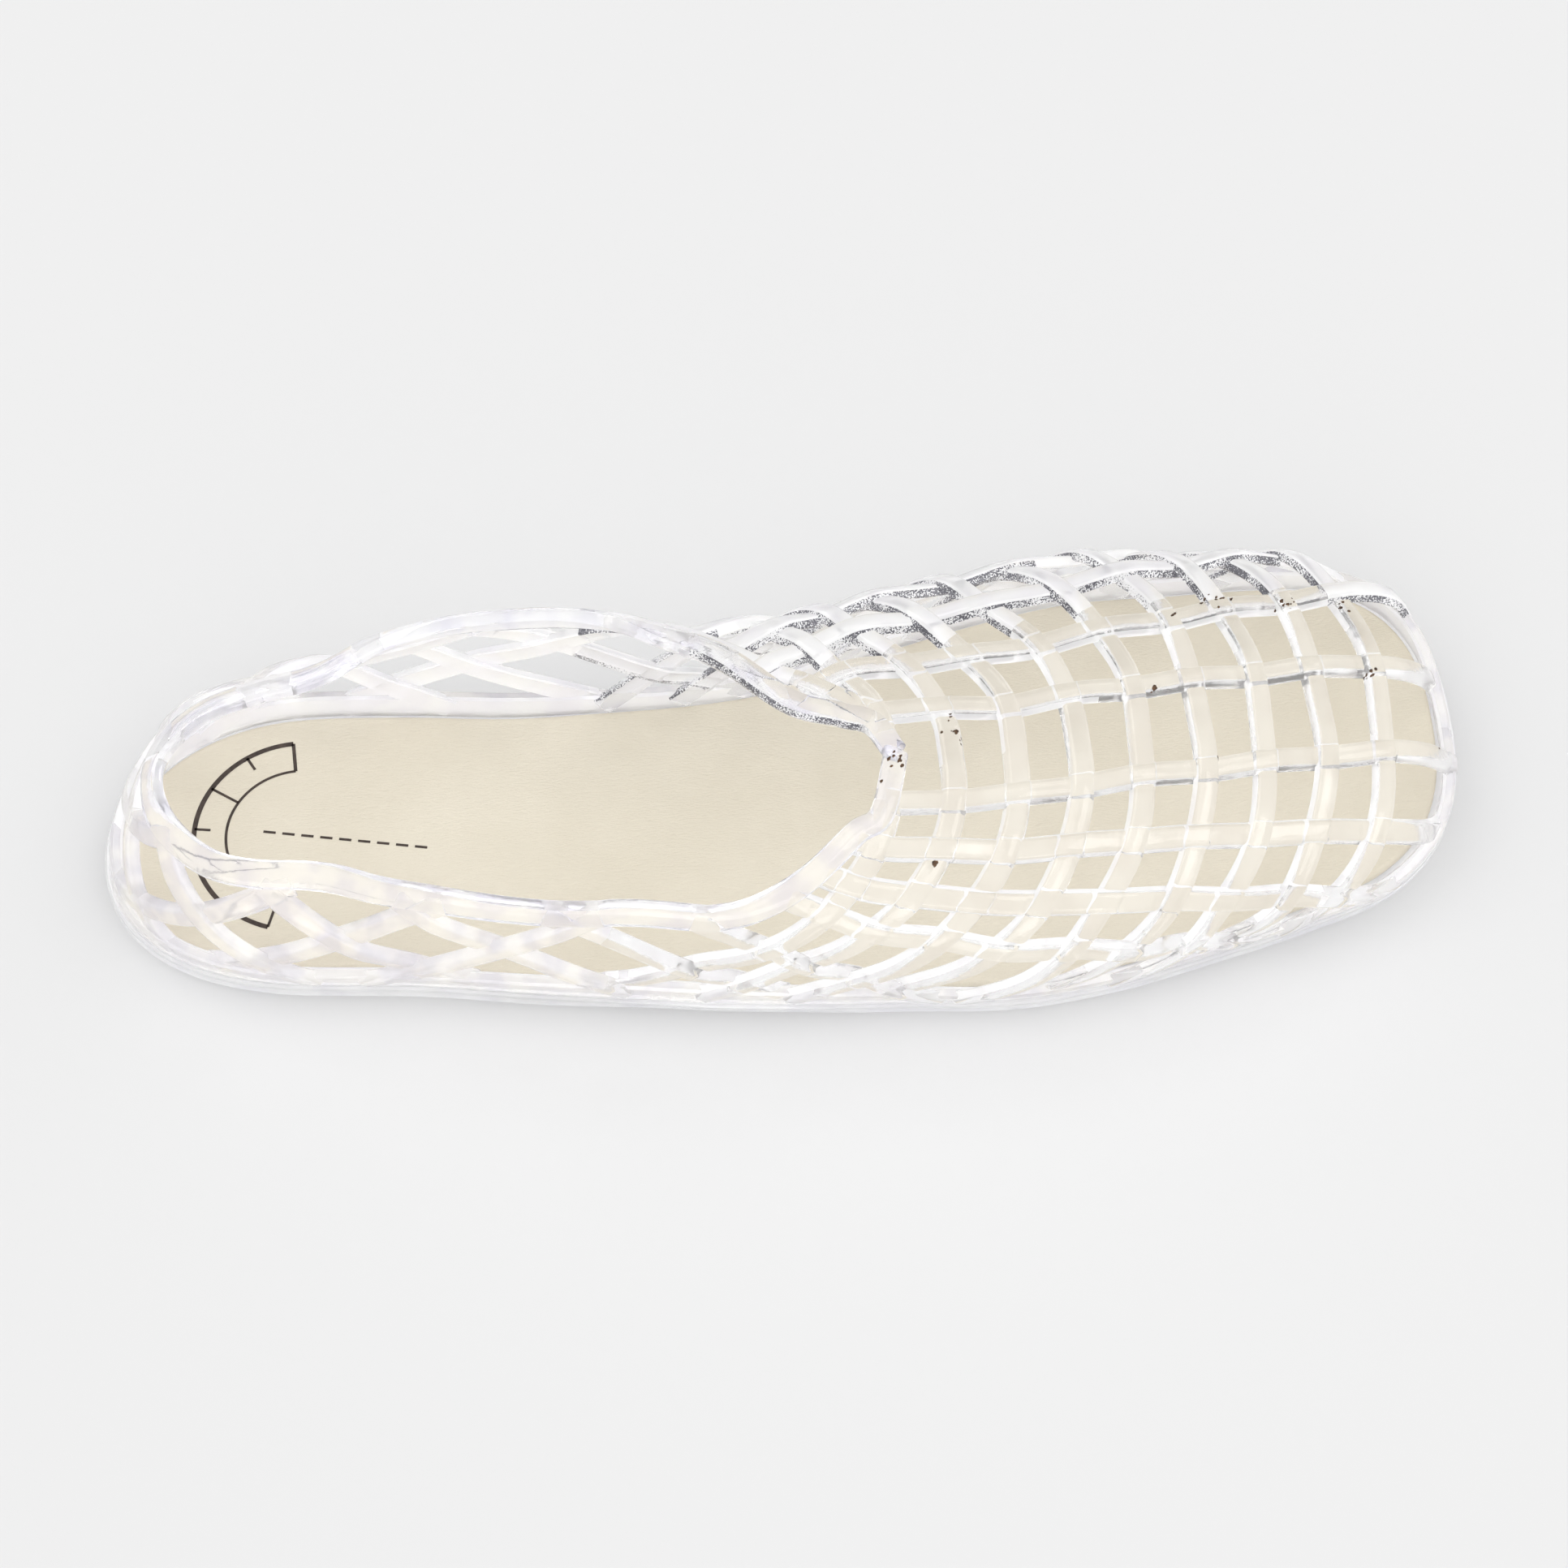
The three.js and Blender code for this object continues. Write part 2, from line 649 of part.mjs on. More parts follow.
function bandSolid() {
  const stops = loop(BAND_STATIONS, LENGTH, () => CLEARANCE + BAND_HEIGHT / 2);
  const frames = stops.map((p) => frameAt(p, 0));
  const half = BAND_HEIGHT / 2;
  const profile = [[-half, -BAND_THICK], [half, -BAND_THICK], [half, 0], [-half, 0]];
  return solid(loft(sweep(frames, profile, true), true));
}

// Points round the sole's edge at the height of the bed, moved out by a margin.
function edgeRing(count, margin, height) {
  const stops = loop(count, LENGTH, () => 0);
  const points = stops.map((p) => place(p.x, p.side, 0));
  return points.map((point, i) => {
    const before = points[(i + points.length - 1) % points.length];
    const after = points[(i + 1) % points.length];
    const ahead = after.clone().sub(before).setZ(0).normalize();
    const out = new THREE.Vector3(ahead.y, -ahead.x, 0);
    const moved = point.clone().addScaledVector(out, margin);
    return moved.setZ(height(moved.x));
  });
}

// Solid through rings round the sole's edge, from the top ring to the lowest, closed across.
function plateSolid(rings) {
  const count = rings[0].length;
  const positions = rings.flat().flatMap((p) => [p.x, p.y, p.z]);
  const index = [];
  for (let i = 0; i < rings.length - 1; i += 1) {
    for (let j = 0; j < count; j += 1) {
      const k = (j + 1) % count;
      const here = i * count;
      const next = here + count;
      index.push(here + j, next + k, here + k, here + j, next + j, next + k);
    }
  }
  const low = (rings.length - 1) * count;
  for (let j = 0; j < count / 2; j += 1) {
    const k = (count - j) % count;
    const m = count - j - 1;
    if (k !== j) {
      index.push(j, j + 1, k, low + j, low + k, low + j + 1);
    }
    if (m !== j + 1) {
      index.push(k, j + 1, m, low + k, low + m, low + j + 1);
    }
  }
  const geometry = new THREE.BufferGeometry();
  geometry.setAttribute('position', new THREE.Float32BufferAttribute(positions, 3));
  geometry.setIndex(index);
  return solid(geometry);
}

// Cross bars under the heel, the ball and the toe.
const TREAD = [
  { from: 0.05, to: 0.29 },
  { from: 0.55, to: 0.94 },
];

function lugSolid(from) {
  const bars = 3;
  const edge = (x, side) => place(x, side, 0).y - side * LUG_INSET;
  const rings = [];
  for (let i = 0; i <= bars; i += 1) {
    const x = from + (LUG_LENGTH * i) / bars;
    const low = toeSpring(x);
    const high = soleBottom(x) + LUG_DEPTH / 2;
    rings.push([[OUTER, low], [INNER, low], [INNER, high], [OUTER, high]]
      .map(([side, z]) => new THREE.Vector3(x, edge(x, side), z)));
  }
  return solid(loft(rings, false));
}

function upperGeometry() {
  const strips = netStrips();
  const marks = weave(strips);
  let whole = rimSolid().add(bandSolid());
  [...strips.along, ...strips.across].forEach((strip) => {
    whole = whole.add(stripSolid(strip, marks.get(strip)));
  });
  const below = BAND_HEIGHT * 2;
  return geometryOf(whole.subtract(plateSolid([
    edgeRing(EDGE_STATIONS, below, (x) => bed(x) + CLEARANCE),
    edgeRing(EDGE_STATIONS, below, (x) => bed(x) - below),
  ])));
}

function outsoleGeometry() {
  const level = (share) => (x) => bed(x) + (soleBottom(x) - bed(x)) * share;
  const ring = (margin, share) => edgeRing(EDGE_STATIONS, margin, level(share));
  let whole = plateSolid([
    ring(SOLE_LIP, 0),
    ring(SOLE_LIP, 0.26),
    ring(SOLE_LIP - GROOVE_DEPTH, 0.34),
    ring(SOLE_LIP - GROOVE_DEPTH, 0.52),
    ring(SOLE_LIP, 0.60),
    ring(-SOLE_TUCK, 1),
  ]);
  TREAD.forEach(({ from, to }) => {
    for (let x = from * LENGTH; x + LUG_LENGTH <= to * LENGTH; x += LUG_PITCH) {
      whole = whole.add(lugSolid(x));
    }
  });
  return geometryOf(whole);
}

function insoleGeometry() {
  const margin = -(Math.max(BAND_THICK, STRIP_THICK + WEAVE_LIFT) + CLEARANCE);
  const top = (x) => bed(x) + CLEARANCE + INSOLE_THICK;
  const edge = INSOLE_THICK * 0.35;
  return geometryOf(plateSolid([
    edgeRing(EDGE_STATIONS, margin - edge, top),
    edgeRing(EDGE_STATIONS, margin, (x) => top(x) - edge),
    edgeRing(EDGE_STATIONS, margin, (x) => bed(x) + CLEARANCE),
  ]));
}

function piece(name, geometry, look) {
  const mesh = new THREE.Mesh(geometry, new THREE.MeshStandardMaterial(look));
  mesh.name = name;
  return mesh;
}

const shoe = new THREE.Group();
shoe.add(piece('upper', upperGeometry(), { color: 0xf2f1f0, roughness: 0.15, metalness: 0 }));
shoe.add(piece('outsole', outsoleGeometry(), { color: 0xeeeeec, roughness: 0.15, metalness: 0 }));
shoe.add(piece('insole', insoleGeometry(), { color: 0xece3d0, roughness: 0.6, metalness: 0 }));

const box = new THREE.Box3().setFromObject(shoe);
const centre = box.getCenter(new THREE.Vector3());
shoe.position.set(-centre.x, -centre.y, -box.min.z);

export default shoe;
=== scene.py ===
"""The looks of a clear moulded slip-on shoe for the right foot: net upper, sole and insole.

The forms are worked out in millimetres, with the back of the heel at x = 0, +X to the toe, +Y to
the inner side and +Z up, and are turned into metres in the frame where each mesh is made.
"""
import math
import random
from collections import namedtuple
from functools import lru_cache

import bmesh
import bpy
from mathutils import Matrix, Vector
from mathutils.bvhtree import BVHTree


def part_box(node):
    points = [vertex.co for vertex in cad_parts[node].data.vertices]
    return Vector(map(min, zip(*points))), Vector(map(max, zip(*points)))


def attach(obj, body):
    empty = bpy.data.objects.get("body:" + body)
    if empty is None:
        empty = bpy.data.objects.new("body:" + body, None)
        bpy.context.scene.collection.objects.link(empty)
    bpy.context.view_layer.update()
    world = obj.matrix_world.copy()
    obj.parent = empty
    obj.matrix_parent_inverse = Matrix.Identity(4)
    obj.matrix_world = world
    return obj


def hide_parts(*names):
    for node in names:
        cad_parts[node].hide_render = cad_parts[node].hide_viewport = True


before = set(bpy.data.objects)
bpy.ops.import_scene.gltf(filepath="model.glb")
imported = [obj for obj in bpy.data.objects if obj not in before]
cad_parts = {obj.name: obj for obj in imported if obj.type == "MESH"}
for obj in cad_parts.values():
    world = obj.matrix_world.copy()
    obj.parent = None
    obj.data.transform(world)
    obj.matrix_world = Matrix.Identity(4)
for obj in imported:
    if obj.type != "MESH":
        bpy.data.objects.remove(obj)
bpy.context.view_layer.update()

MM = 0.001

# Main sizes of the shoe.
LENGTH = 252.0
BALL_WIDTH = 86.0
INSTEP_HEIGHT = 44.0
COLLAR_DROP = 3.0
COLLAR_HEIGHT = INSTEP_HEIGHT - COLLAR_DROP
HEEL_ROUND = 36.0
TOE_ROUND = 40.0
TOE_DROP = 17.0
HEEL_LEAN = 13.0
HEEL_REACH = 29.0
LEAN_POWER = 1.5

# Sole.
SOLE_HEEL = 6.0
SOLE_BALL = 5.0
TOE_SPRING = 6.0
ARCH_RISE = 2.0
LUG_DEPTH = 1.2
LUG_LENGTH = 6.0
LUG_PITCH = 10.0
LUG_INSET = 5.0
SOLE_TUCK = 2.4
SOLE_LIP = 0.8
GROOVE_DEPTH = 0.7
SPRING = (0.74, 1.00)
TAPER = (0.25, 0.60)
ARCH = (0.30, 0.42, 0.46, 0.58)
TREAD = ((0.05, 0.29), (0.55, 0.94))

# Wall of the upper.
STRIP_WIDTH = 4.8
STRIP_FACE = 3.2
STRIP_THICK = 2.2
STRIP_SOFT = 0.3
WEAVE_LIFT = 0.62
RIM_WIDTH = 5.4
RIM_THROAT = 4.6
RIM_SEAT = 0.3
RIM_THICK = 3.6
RIM_SQUARE = 2.6
BAND_HEIGHT = 5.0
BAND_THICK = 2.3
BAND_SOFT = 0.5

# Insole; its edge leaves room for the lift that the weave has in the solids.
INSOLE_THICK = 1.8
INSOLE_ROUND = 0.5
ROUND_STEPS = 4
CLEARANCE = 0.3
SOLID_LIFT = 0.45

# Net: rows run lengthwise and turn to the slope of the diamonds behind NET_REAR; crosswise strips
# sweep back down each side, the more so the nearer they are to the throat.
RIDGE_HALF = 9.5
ROW_PITCH = 12.5
ROW_FAN = 0.0062
ROW_EVEN_AT = 0.715
ROW_TURN = 0.1
CROSS_PITCH = 11.7
CROSS_STRAIGHT = 4.0
CROSS_LEAST = 0.75
CROSS_GROWTH = 0.0125
CROSS_EVEN_AT = 0.8
STEEPEST_GROWTH = 1.2
NET_REAR = 0.575
Sweep = namedtuple("Sweep", "bow power steepest")
SWEEP = {1: Sweep(0.0165, 2, 0.74), -1: Sweep(0.0112, 1, 1.05)}
NET_ROWS = {1: 5, -1: 4}
NET_CROSSES = 9
DIAMOND = 28.5
DIAMOND_SLOPE = 0.6
SLANTS_BACK = 6
SLANTS_FORWARD = 2

# Fineness of the tables, of the strips' stops and of the meshes.
EDGE_STEPS = 200
ROW_STOPS = 60
ROW_STEP = 3.0
CROSS_STEP = 2
SLANT_STOPS = 80
SLANT_STEP = 2.5
STRIP_STEP = 1.7
RIM_POINTS = 14
RIM_STATIONS = 120
BAND_STATIONS = 110
EDGE_STATIONS = 110
SECTION_STEPS = 40

# Sections of the last: place (share of length), middle line and half width (shares of ball width),
# crest (share of instep height), lean of the crest (share of ball width), squareness of the sides.
Section = namedtuple("Section", "at middle half crest lean inner outer")
SECTIONS = (
    Section(0.00, 0.030, 0.330, 0.80, 0.00, 2.35, 2.35),
    Section(0.04, 0.034, 0.338, 0.79, 0.00, 2.35, 2.35),
    Section(0.10, 0.038, 0.348, 0.79, 0.00, 2.35, 2.35),
    Section(0.16, 0.031, 0.362, 0.87, 0.00, 2.35, 2.20),
    Section(0.22, 0.015, 0.366, 1.12, 0.00, 2.40, 2.10),
    Section(0.32, -0.019, 0.370, 1.42, 0.00, 2.60, 2.50),
    Section(0.38, -0.032, 0.376, 1.16, -0.01, 3.40, 2.90),
    Section(0.44, -0.043, 0.388, 1.07, -0.03, 4.10, 3.20),
    Section(0.50, -0.043, 0.408, 1.04, -0.05, 4.30, 2.80),
    Section(0.57, -0.020, 0.453, 1.01, -0.08, 4.20, 2.35),
    Section(0.66, 0.004, 0.500, 0.97, -0.10, 3.80, 2.20),
    Section(0.73, 0.034, 0.508, 0.93, -0.10, 3.40, 2.20),
    Section(0.82, 0.065, 0.478, 0.83, -0.09, 3.00, 2.20),
    Section(0.89, 0.084, 0.455, 0.72, -0.07, 2.90, 2.20),
    Section(0.94, 0.090, 0.458, 0.63, -0.05, 2.80, 2.20),
    Section(1.00, 0.095, 0.465, 0.54, -0.03, 2.60, 2.20),
)
HEEL_RIM = 0.75
HEEL_SQUARE = 2.15
TOE_SQUARE = 2.5
DROP_SQUARE = 2.2
TUCK_ANGLE = math.radians(22)
WIDEST = 12.0
WIDEST_SHARE = 0.32

# Height of the rim (share of the collar height) and half widths of the opening at the throat
# (shares of the ball width), each for the inner and the outer side.
Pair = namedtuple("Pair", "at inner outer")
COLLAR = (
    Pair(0.00, 0.80, 0.80),
    Pair(0.08, 0.76, 0.75),
    Pair(0.14, 0.80, 0.78),
    Pair(0.20, 0.90, 0.84),
    Pair(0.26, 0.98, 0.87),
    Pair(0.34, 1.00, 0.88),
    Pair(0.42, 1.00, 0.88),
    Pair(0.48, 0.99, 0.89),
    Pair(0.60, 0.97, 0.97),
)
THROAT = (
    Pair(0.360, 0.400, 0.420),
    Pair(0.410, 0.300, 0.400),
    Pair(0.456, 0.245, 0.370),
    Pair(0.508, 0.125, 0.285),
    Pair(0.543, 0.095, 0.190),
    Pair(0.565, 0.065, 0.130),
    Pair(0.577, 0.000, 0.000),
)
THROAT_START = THROAT[0].at
THROAT_END = THROAT[-1].at
THROAT_BLEND = 5.0

INNER = 1
OUTER = -1
SIDE_NAME = {INNER: "inner", OUTER: "outer"}


def clamp01(value):
    return min(max(value, 0.0), 1.0)


def smooth(value):
    t = clamp01(value)
    return t * t * (3 - 2 * t)


def passed(x, start, end):
    """How far x has come along a stretch of the length, eased at both of its ends."""
    return smooth((x / LENGTH - start) / (end - start))


def column(rows, name, at):
    """A smooth curve through one column of a table, at a share of the length."""
    last = len(rows) - 1

    def value(i):
        return getattr(rows[i], name)

    def slope(i):
        return (value(i + 1) - value(i)) / (rows[i + 1].at - rows[i].at)

    def tangent(i):
        if i == 0:
            return slope(0)
        if i == last:
            return slope(last - 1)
        before = rows[i].at - rows[i - 1].at
        after = rows[i + 1].at - rows[i].at
        return (slope(i - 1) * after + slope(i) * before) / (before + after)

    i = 0
    while i < last - 1 and at > rows[i + 1].at:
        i += 1
    step = rows[i + 1].at - rows[i].at
    t = clamp01((at - rows[i].at) / step)
    t2 = t * t
    t3 = t2 * t
    return ((2 * t3 - 3 * t2 + 1) * value(i) + (t3 - 2 * t2 + t) * step * tangent(i)
            + (3 * t2 - 2 * t3) * value(i + 1) + (t3 - t2) * step * tangent(i + 1))


def rounded(share, power):
    """Rounding of an end: 0 at the tip, 1 from the full width on."""
    return (1 - (1 - clamp01(share)) ** power) ** (1 / power)


@lru_cache(maxsize=None)
def half_width(x):
    return (BALL_WIDTH * column(SECTIONS, "half", x / LENGTH)
            * rounded(x / HEEL_ROUND, HEEL_SQUARE) * rounded((LENGTH - x) / TOE_ROUND, TOE_SQUARE))


@lru_cache(maxsize=None)
def middle(x):
    return BALL_WIDTH * column(SECTIONS, "middle", x / LENGTH)


def toe_spring(x):
    return TOE_SPRING * clamp01((x / LENGTH - SPRING[0]) / (SPRING[1] - SPRING[0])) ** 2


def sole_bottom(x):
    arch = passed(x, ARCH[0], ARCH[1]) * (1 - passed(x, ARCH[2], ARCH[3]))
    return LUG_DEPTH + ARCH_RISE * arch + toe_spring(x)


def bed(x):
    """Top of the sole, where upper and insole sit."""
    front = passed(x, TAPER[0], TAPER[1])
    return toe_spring(x) + SOLE_HEEL * (1 - front) + SOLE_BALL * front


@lru_cache(maxsize=None)
def crest(x):
    low = bed(x)
    high = INSTEP_HEIGHT * column(SECTIONS, "crest", x / LENGTH)
    return low + (high - low) * rounded((LENGTH - x) / TOE_DROP, DROP_SQUARE)


@lru_cache(maxsize=None)
def section(x, side):
    """One side of the section at x, from the bed to the crest: its y, z and girth columns."""
    wide = half_width(x)
    low = bed(x)
    high = crest(x)
    belly = low + min(WIDEST, WIDEST_SHARE * (high - low))
    square = column(SECTIONS, SIDE_NAME[side], x / LENGTH)

    def reach(c, s):
        return (abs(c) ** square + abs(s) ** square) ** (-1 / square)

    tuck = math.sin(TUCK_ANGLE) * reach(math.cos(TUCK_ANGLE), math.sin(TUCK_ANGLE))
    ys, zs, girths = [], [], []
    for i in range(SECTION_STEPS + 1):
        angle = -TUCK_ANGLE + (i / SECTION_STEPS) * (math.pi / 2 + TUCK_ANGLE)
        c = max(math.cos(angle), 0.0)
        s = math.sin(angle)
        k = reach(c, s)
        rise = high - belly if s >= 0 else (belly - low) / tuck
        y = wide * c * k
        z = belly + rise * s * k
        girths.append(girths[-1] + math.hypot(y - ys[-1], z - zs[-1]) if i else 0.0)
        ys.append(y)
        zs.append(z)
    return ys, zs, girths


def along(keys, values, key):
    """The value that goes with a key, from two columns of which the keys grow."""
    i = 1
    while i < len(keys) - 1 and keys[i] < key:
        i += 1
    t = clamp01((key - keys[i - 1]) / max(keys[i] - keys[i - 1], 1e-9))
    return values[i - 1] + (values[i] - values[i - 1]) * t


def girth_of(x, side):
    return section(x, side)[2][-1]


def place(x, side, w):
    """Point of the upper's outer face at x, on a side, a girth w up from the bed."""
    ys, zs, girths = section(x, side)
    y = along(girths, ys, w)
    z = along(girths, zs, w)
    low = bed(x)
    rise = clamp01((z - low) / max(crest(x) - low, 1e-3))
    lean = BALL_WIDTH * column(SECTIONS, "lean", x / LENGTH) * rise ** LEAN_POWER
    height = max(z - low, 0.0) / (COLLAR_HEIGHT * HEEL_RIM)
    forward = HEEL_LEAN * height ** LEAN_POWER * math.exp(-x / HEEL_REACH)
    return Vector((x + forward, middle(x) + side * y + lean, z))


@lru_cache(maxsize=None)
def collar_girth(x, side):
    """Girth up from the bed at which the rim runs."""
    ys, zs, girths = section(x, side)
    height = COLLAR_HEIGHT * column(COLLAR, SIDE_NAME[side], x / LENGTH)
    by_height = along(zs, girths, height)
    if x / LENGTH < THROAT_START:
        return by_height
    half = BALL_WIDTH * column(THROAT, SIDE_NAME[side], x / LENGTH)
    widest = max(range(len(ys)), key=lambda i: ys[i])
    from_side = [ys[widest] - y for y in ys[widest:]]
    inward = ys[widest] - half
    if inward > 0:
        by_half = along(from_side, girths[widest:], inward)
    else:
        by_half = girths[widest] + 2 * inward
    blend = (by_height + by_half + math.hypot(by_height - by_half, THROAT_BLEND)) / 2
    return min(blend, girths[-1])


def edge_table(side):
    """Length round the sole's edge from the back of the heel, beside its x."""
    xs, lengths = [0.0], [0.0]
    before = place(0.0, side, 0.0)
    for i in range(1, EDGE_STEPS + 1):
        x = LENGTH * (1 - math.cos(math.pi * i / EDGE_STEPS)) / 2
        point = place(x, side, 0.0)
        xs.append(x)
        lengths.append(lengths[-1] + math.hypot(point.x - before.x, point.y - before.y))
        before = point
    return xs, lengths


EDGE = {side: edge_table(side) for side in (OUTER, INNER)}


def edge_length(x, side):
    return along(EDGE[side][0], EDGE[side][1], x)


def edge_x(length, side):
    return along(EDGE[side][1], EDGE[side][0], length)


def normal_at(x, side, w):
    """Outward normal of the upper's face."""
    dx = min(1.5, max(0.05, min(x, LENGTH - x) * 0.3))
    x0 = max(x - dx, 0.001)
    x1 = min(x + dx, LENGTH - 0.001)
    girth = girth_of(x, side)
    share = w / girth if girth > 0 else 0.0
    forward = place(x1, side, share * girth_of(x1, side)) - place(x0, side, share * girth_of(x0, side))
    up = place(x, side, min(w + 0.8, girth)) - place(x, side, max(w - 0.8, 0.0))
    if up.length < 1e-6:
        up = Vector((0, 0, 1))
    return (up.cross(forward) * side).normalized()


Stop = namedtuple("Stop", "x side w s")


def stop(x, side, w):
    """Where a strip lies on the upper."""
    return Stop(x, side, w, edge_length(x, side))


def row_strip(side, row):
    """One lengthwise strip from the toe back to the rim: row 0 borders the ridge."""
    bend = NET_REAR * LENGTH

    def height(x):
        gap = ROW_PITCH * (1 + ROW_FAN * (x - ROW_EVEN_AT * LENGTH))
        return girth_of(x, side) - RIDGE_HALF - row * gap

    stops = []
    for i in range(1, ROW_STOPS + 1):
        x = LENGTH - (LENGTH - bend) * (1 - math.cos(math.pi / 2 * i / ROW_STOPS))
        w = height(x)
        if w > 0:
            stops.append(stop(x, side, w))
    if not stops or stops[-1].x > bend + 1e-6:
        return stops
    first = clamp01((height(bend) - height(bend + ROW_STEP)) / ROW_STEP + 0.05)
    w = height(bend)
    x = bend - ROW_STEP
    while x > LENGTH * ROW_TURN:
        turn = smooth((bend - x) / (LENGTH * ROW_TURN))
        w += ROW_STEP * (first + (DIAMOND_SLOPE - first) * turn)
        stops.append(stop(x, side, w))
        if w > collar_girth(x, side) + STRIP_WIDTH:
            break
        x -= ROW_STEP
    return stops


def cross_half(top, growth, side):
    """One half of a crosswise strip, from the ridge down to the foot."""
    sweep = SWEEP[side]
    bend = sweep.bow * growth ** sweep.power
    limit = sweep.steepest * min(max(growth, 1.0), STEEPEST_GROWTH)
    fully_bent = limit / (2 * bend)
    stops = []
    x = top
    w = girth_of(top, side)
    g = 0
    while w > 0:
        past = max(g - CROSS_STRAIGHT, 0.0)
        bent = min(past, fully_bent)
        x = top - bend * bent * bent - limit * (past - bent)
        following = girth_of(x, side) - g
        if g > 0 and w - following < 1:
            break
        w = following
        if w > 0:
            stops.append(stop(x, side, w))
        g += CROSS_STEP
    down = 1
    while w - down > 0:
        x -= limit
        stops.append(stop(x, side, w - down))
        down += 1
    return stops


def cross_strip(number):
    """One crosswise strip over the ridge, from foot to foot, swept back down each side."""
    top = THROAT_END * LENGTH - STRIP_WIDTH / 3 + number * CROSS_PITCH
    growth = CROSS_LEAST + CROSS_GROWTH * max(CROSS_EVEN_AT * LENGTH - top, 0.0)
    return cross_half(top, growth, OUTER)[::-1] + cross_half(top, growth, INNER)[1:]


def slant_strip(foot, rise):
    """One slanting strip of the diamond net: its foot is an edge length from the heel."""
    stops = []
    for i in range(SLANT_STOPS):
        w = i * SLANT_STEP * DIAMOND_SLOPE
        sigma = foot + rise * i * SLANT_STEP
        side = OUTER if sigma < 0 else INNER
        x = edge_x(abs(sigma), side)
        stops.append(stop(max(x, 0.02), side, w))
        if w > min(collar_girth(x, side) + STRIP_WIDTH, girth_of(x, side) - RIDGE_HALF):
            break
    return stops


def in_net(p):
    """Whether a stop lies between the sole's edge and the rim."""
    if p.w < BAND_HEIGHT / 2:
        return False
    return p.x / LENGTH > THROAT_END or p.w < collar_girth(p.x, p.side) - RIM_WIDTH * RIM_SEAT


def end_stop(last, past):
    """The last stop in the net on the way from a stop in it to one past its end."""
    if last.side != past.side:
        return []

    def part(t):
        return stop(last.x + (past.x - last.x) * t, last.side, last.w + (past.w - last.w) * t)

    reached = 0.0
    step = 0.5
    while step > 0.01:
        if in_net(part(reached + step)):
            reached += step
        step /= 2
    return [part(reached)] if reached > 0.05 else []


def trimmed(stops):
    """The parts of a strip that lie in the net."""
    runs = []
    run = []
    for i, p in enumerate(stops):
        if in_net(p):
            if not run and i > 0:
                run += end_stop(p, stops[i - 1])
            run.append(p)
        elif run:
            runs.append(run + end_stop(run[-1], p))
            run = []
    if run:
        runs.append(run)
    return [r for r in runs if len(r) > 2]


def net_strips():
    """All strips: those that run along, and those that run across."""
    rows = []
    crosses = []
    for side in (OUTER, INNER):
        for row in range(NET_ROWS[side]):
            rows += trimmed(row_strip(side, row))
        for k in range(SLANTS_BACK + 1):
            rows += trimmed(slant_strip(side * k * DIAMOND, -side))
        for k in range(1, SLANTS_FORWARD + 1):
            crosses += trimmed(slant_strip(side * k * DIAMOND, side))
    for number in range(NET_CROSSES):
        crosses += trimmed(cross_strip(number))
    return rows, crosses


def meeting(a, b):
    """Where two strips cross, as the places of the crossing along each."""
    for i in range(1, len(a)):
        if a[i].side != a[i - 1].side:
            continue
        ax, ay = a[i - 1].s, a[i - 1].w
        dx1, dy1 = a[i].s - ax, a[i].w - ay
        for j in range(1, len(b)):
            if b[j].side != b[j - 1].side or a[i].side != b[j].side:
                continue
            cx, cy = b[j - 1].s, b[j - 1].w
            dx2, dy2 = cx - b[j].s, cy - b[j].w
            det = dx1 * dy2 - dy1 * dx2
            if abs(det) < 1e-9:
                continue
            t = ((cx - ax) * dy2 - (cy - ay) * dx2) / det
            u = ((cy - ay) * dx1 - (cx - ax) * dy1) / det
            if 0 <= t < 1 and 0 <= u < 1:
                return i - 1 + t, j - 1 + u
    return None


def weave(rows, crosses):
    """For each strip its marks (place along it, lift): over another strip 1, under it -1."""
    row_meets = [[] for _ in rows]
    for r, row in enumerate(rows):
        for c, cross in enumerate(crosses):
            met = meeting(row, cross)
            if met:
                row_meets[r].append((met[0], c, met[1]))
    row_marks = []
    cross_marks = [[] for _ in crosses]
    for r, meets in enumerate(row_meets):
        meets.sort()
        marks = []
        for i, (at_row, c, at_cross) in enumerate(meets):
            lift = 1 if (i + r) % 2 == 0 else -1
            marks.append((at_row, lift))
            cross_marks[c].append((at_cross, -lift))
        row_marks.append(marks)
    for marks in cross_marks:
        marks.sort()
    return list(zip(rows, row_marks)) + list(zip(crosses, cross_marks))


def between(strip, at):
    """Where a strip lies part of the way between its stops."""
    i = min(int(at), len(strip) - 2)
    t = at - i
    a = strip[i]
    b = strip[i + 1]
    if a.side == b.side:
        return a.x + (b.x - a.x) * t, a.side, a.w + (b.w - a.w) * t
    if a.x > LENGTH / 2:
        start = girth_of(a.x, b.side)
        return a.x + (b.x - a.x) * t, b.side, start + (b.w - start) * t
    sigma = a.side * a.s * (1 - t) + b.side * b.s * t
    side = OUTER if sigma < 0 else INNER
    return max(edge_x(abs(sigma), side), 0.02), side, a.w + (b.w - a.w) * t


Ring = namedtuple("Ring", "point normal wide")


def ring_at(x, side, w, out=0.0, wide=1.0):
    normal = normal_at(x, side, w)
    return Ring(place(x, side, w) + normal * out, normal, wide)


